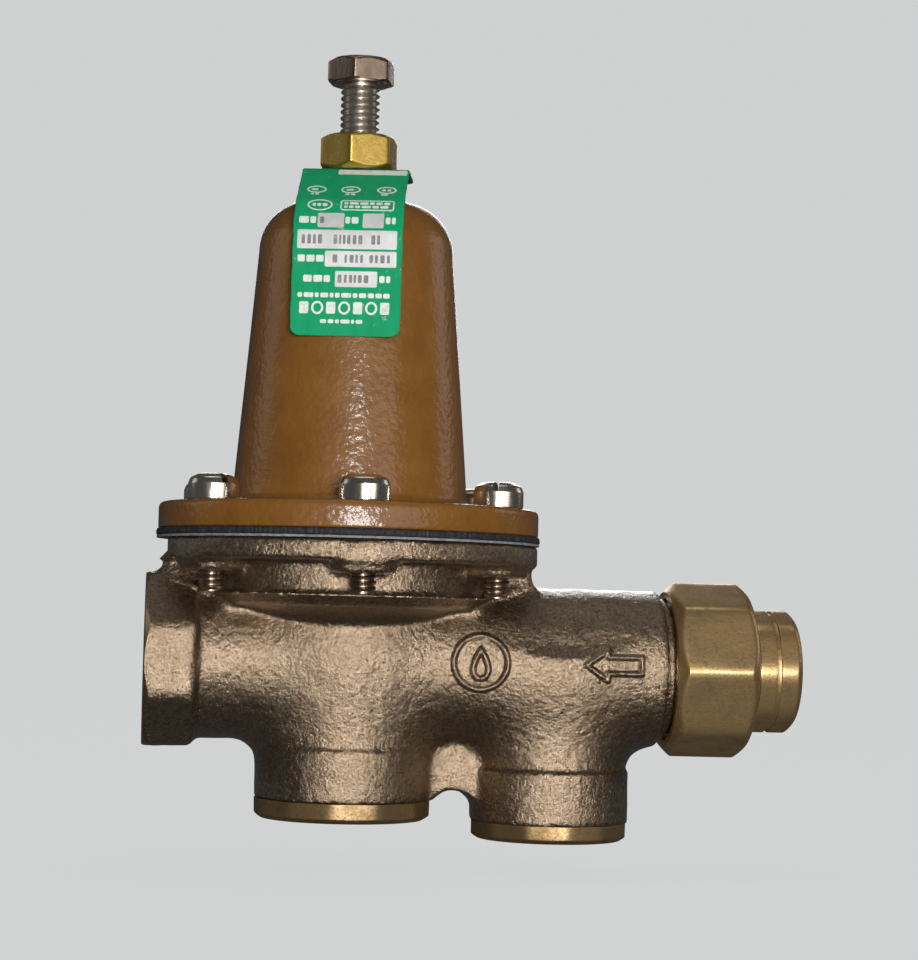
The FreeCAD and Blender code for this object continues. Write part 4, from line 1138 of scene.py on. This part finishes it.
def screen_wire(path, closed, radius=0.12, sides=4):
    rings = []
    around = np.linspace(0, math.tau, sides, endpoint=False)
    for a, out, z in path:
        if closed:
            rings.append(placed("up", STRAINER, np.full(sides, a), out + radius * np.cos(around), z + radius * np.sin(around)))
        else:
            rings.append(placed("up", STRAINER, a + radius * np.cos(around) / out, out + radius * np.sin(around),
                                np.full(sides, z)))
    count = len(rings)
    last = count if closed else count - 1
    faces = [(i * sides + k, i * sides + (k + 1) % sides, ((i + 1) % count) * sides + (k + 1) % sides,
              ((i + 1) % count) * sides + k) for i in range(last) for k in range(sides)]
    if not closed:
        faces += [tuple(range(sides))[::-1], tuple((count - 1) * sides + k for k in range(sides))]
    return np.concatenate(rings), faces


# ---------------------------------------------------------------- plugs and union

def threaded_plug(name, x, flats, turn, low, high, thread_radius, thread_top, cup, body, node, screw_slot):
    outline = subdivided(rounded([
        (0, low), (flats / 2 - 1.3, low, 0.3), (flats / 2 + 0.55, low + 1.1, 0.3), (flats / 2 + 0.8, high - 0.1, 0.2),
        (flats / 2 - 0.2, high), (thread_radius - 1.4, high), (thread_radius - 1.4, high + 0.2), (0, high + 0.2)], 3), 0.5)
    flange = lathe_arrays(outline, x=x, polygon=(12, flats, turn))
    shank = thread_arrays(high - 0.3, thread_top, thread_radius, 0.92, 1.5875, x=x, inner=cup, fade_low=0.8,
                          fade_high=0.5)
    parts = [loose("flange", flange, PLUG_METAL), loose("shank", shank, TURNED_Z)]
    return joined(name, parts, body, [node], 28)


def union_nut_piece():
    start, end, flats = 124.4, 144.3, 39.2
    outline = subdivided(rounded([
        (17.15, start), (18.6, start, 0.2), (21.1, start + 2.2, 0.3), (21.4, end - 2.6, 0.5), (18.9, end - 0.6, 0.6),
        (17.4, end, 0.4), (14.95, end, 0.4), (14.95, end - 4.7, 0.3), (17.15, end - 4.9)], 3), 0.5)
    blank = lathe_arrays(outline, "pipe", polygon=(8, flats, 0.0))
    nut = loose("nut", blank, NUT_METAL)
    ridges = thread_arrays(start + 0.6, end - 5.2, 17.25, -0.02, 25.4 / 11.5, "pipe", inner=17.0)
    return finish_piece(nut, NUT_METAL, "union_nut", ["union_nut"], 26)


def tailpiece():
    start, end = 144.6, 155.7
    outline = subdivided(rounded([
        (10.6, 137.2), (16.3, 137.2, 0.4), (16.3, 139.3, 0.3), (14.7, 139.4, 0.2), (14.7, 145.6), (14.72, 145.9),
        (14.72, 149.2, 0.15), (14.2, 149.3, 0.1), (14.2, 150.3, 0.1), (14.72, 150.4, 0.15), (14.72, 154.2, 0.5),
        (12.9, end, 0.4), (10.6, end)], 3), 0.45)
    round_part = lathe_arrays(rounded([
        (8.05, 136.05), (16.35, 136.05, 0.4), (16.35, 139.3, 0.5), (14.75, 139.4, 0.3), (14.75, 145.2, 0.3),
        (14.0, 145.4), (8.05, 145.4)], 3), "pipe", count=160)
    eight = lathe_arrays(subdivided(rounded([
        (0, 145.0), (14.75, 145.0, 0.3), (14.75, 149.2, 0.15), (14.05, 149.3, 0.1), (14.05, 150.3, 0.1),
        (14.75, 150.4, 0.15), (14.75, 154.3, 0.5), (13.0, end, 0.4), (0, end)], 3), 0.45), "pipe",
        polygon=(8, 28.4, 0.0))
    eight_part = loose("eight", eight, NUT_METAL)
    port = loose("port", thread_arrays(end - 15.0, end + 1.5, 10.5, 1.12, 25.4 / 14, "pipe", fade_low=1.0,
                                       fade_high=0.2), TURNED_X)
    mouth = loose("mouth", lathe_arrays([(0, end - 1.6), (9.6, end - 1.6), (10.9, end - 0.2), (11.5, end + 1.2),
                                         (0, end + 1.2)], "pipe"), TURNED_X)
    through = loose("through", lathe_arrays([(0, 144), (8, 144), (8, 157), (0, 157)], "pipe", count=96), TURNED_X)
    bored(eight_part, [port, mouth, through])
    flange_part = loose("round", round_part, TURNED_X)
    return joined("union_tail", [flange_part, eight_part], "union_tailpiece", ["union_tailpiece"], 28)


# ---------------------------------------------------------------- the rest of the object

body_piece = casting()
cast_marks(body_piece)
union_spigot()
cage()
flange_screws()
adjusting_bolt()
brass_nut()
tag_plate()
tag_print()
ragged_diaphragm()
spring = coil_spring()
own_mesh(spring)
woven_screen()
threaded_plug("main_plug", STEM, 41.0, -12.0, -36.7, -32.05, 16.4, -25.2, 12.9, "bottom_plug", "bottom_plug", None)
threaded_plug("strainer_cap", STRAINER, 36.8, 5.4, -40.9, -36.65, 14.2, -30.4, 11.2, "strainer_plug",
              "strainer_plug", None)
union_nut_piece()
tailpiece()
carried = {
    "seat_ring": TURNED_Z, "seat_gasket": FIBRE, "stem_guide": TURNED_Z, "diaphragm_gasket": FIBRE,
    "union_gasket": FIBRE, "valve_stem": TURNED_Z, "diaphragm_plate": DARK_STEEL, "diaphragm_washer": TURNED_Z,
    "diaphragm_nut": DARK_STEEL, "disc_holder": TURNED_Z, "seat_disc": SEAL_RUBBER, "disc_nut": TURNED_Z,
    "spring_button": DARK_STEEL, "bottom_plug_o_ring": SEAL_RUBBER, "strainer_plug_o_ring": SEAL_RUBBER,
}
for node, material in carried.items():
    mesh = frame["nodes"][node].data
    mesh.materials.clear()
    mesh.materials.append(material)


# ---------------------------------------------------------------- floor, light and camera

def swept_floor():
    """A pale floor that curves up far off on every side into a dome."""
    low = packed_bounds[0][2] / MM - 8
    profile = [(0, 0.0), (300, 0.0), (900, 0.0), (1900, 0.0)]
    profile += [(1900 + 1000 * math.sin(a), 1000 - 1000 * math.cos(a)) for a in np.linspace(0.08, math.pi / 2, 16)]
    profile += [(2900 * math.cos(a), 1000 + 2200 * math.sin(a)) for a in np.linspace(0.1, math.pi / 2 - 0.02, 16)]
    verts, faces = lathe_arrays([(r, z + low) for r, z in profile] + [(0, 3200 + low)], x=70.0, count=96)
    mesh = bpy.data.meshes.new("floor")
    mesh.from_pydata((verts * MM).tolist(), [], faces)
    mesh.polygons.foreach_set("use_smooth", [True] * len(mesh.polygons))
    n = Nodes("pale_paper")
    grain = n.noise(900, 3, 0.6)
    colour = n.mix(n.level(n.noise(1.3, 2, 0.5), 0.3, 0.7), (0.115, 0.117, 0.120), (0.125, 0.126, 0.126))
    n.set(Base_Color=colour, Roughness=n.level(grain, 0.3, 0.7, 0.85, 0.95), Normal=n.bump(grain, 0.02))
    n.set(Emission_Color=(0.98, 1.0, 1.0, 1.0), Emission_Strength=0.63)
    mesh.materials.append(n.material)
    floor = bpy.data.objects.new("floor", mesh)
    bpy.context.scene.collection.objects.link(floor)
    floor.visible_glossy = False
    floor.visible_diffuse = False
    floor.visible_shadow = False
    return floor


def lamp(name, place, target, size, power, colour=(1, 1, 1), size_y=None):
    light = bpy.data.lights.new(name, "AREA")
    light.shape = "RECTANGLE" if size_y else "DISK"
    light.size = size
    if size_y:
        light.size_y = size_y
    light.energy = power
    light.color = colour
    lamp_object = bpy.data.objects.new(name, light)
    lamp_object.location = place
    lamp_object.rotation_euler = (Vector(target) - Vector(place)).to_track_quat("-Z", "Y").to_euler()
    lamp_object.visible_camera = False
    bpy.context.scene.collection.objects.link(lamp_object)
    return lamp_object


def world(colour, strength):
    scene_world = bpy.data.worlds.new("studio")
    bpy.context.scene.world = scene_world
    scene_world.use_nodes = True
    background = scene_world.node_tree.nodes["Background"]
    background.inputs["Color"].default_value = (*colour, 1)
    background.inputs["Strength"].default_value = strength


swept_floor()
world((0.94, 0.96, 1.0), 0.06)
aim = (0.070, 0, 0.045)
lamp("top", (0.05, 0.10, 1.30), aim, 0.9, 1.6, (1.0, 0.99, 0.97), 0.7)
object_only = bpy.data.collections.new("lit_object")
for thing in list(bpy.context.scene.objects):
    if thing.type == "MESH" and thing.name != "floor":
        object_only.objects.link(thing)
for near in (lamp("key", (0.06, -1.05, 0.045), aim, 0.30, 9.5, (1.0, 0.985, 0.96)),
             lamp("fill", (0.62, -0.95, 0.16), aim, 0.45, 1.1, (1.0, 0.97, 0.93)),
             lamp("left", (-1.10, 0.35, 0.45), aim, 0.6, 0.7, (0.96, 0.98, 1.0)),
             lamp("right", (1.15, 0.35, 0.40), aim, 0.5, 0.7, (1.0, 0.97, 0.93)),
             lamp("back", (0.21, 1.05, 0.40), aim, 0.50, 2.6, (1.0, 0.99, 0.98))):
    near.light_linking.receiver_collection = object_only


def photo_camera():
    turn, tilt, roll = math.radians(7.5), math.radians(2.9), math.radians(1.45)
    forward = Vector((math.sin(turn) * math.cos(tilt), math.cos(turn) * math.cos(tilt), math.sin(tilt)))
    right = forward.cross(Vector((0, 0, 1))).normalized()
    above = right.cross(forward)
    r = right * math.cos(roll) + above * math.sin(roll)
    u = above * math.cos(roll) - right * math.sin(roll)
    camera = bpy.data.objects.new("camera", bpy.data.cameras.new("camera"))
    camera.data.lens, camera.data.sensor_width = 94.5, 36.0
    camera.data.clip_start = 0.01
    at = Vector(((STEM - 52.6) * MM, -0.5983, 0.0136))
    camera.matrix_world = Matrix(((r.x, u.x, -forward.x, at.x), (r.y, u.y, -forward.y, at.y),
                                  (r.z, u.z, -forward.z, at.z), (0, 0, 0, 1)))
    bpy.context.scene.collection.objects.link(camera)
    bpy.context.scene.camera = camera


photo_camera()
bpy.context.scene.view_settings.view_transform = "Standard"
bpy.context.scene.view_settings.look = "None"
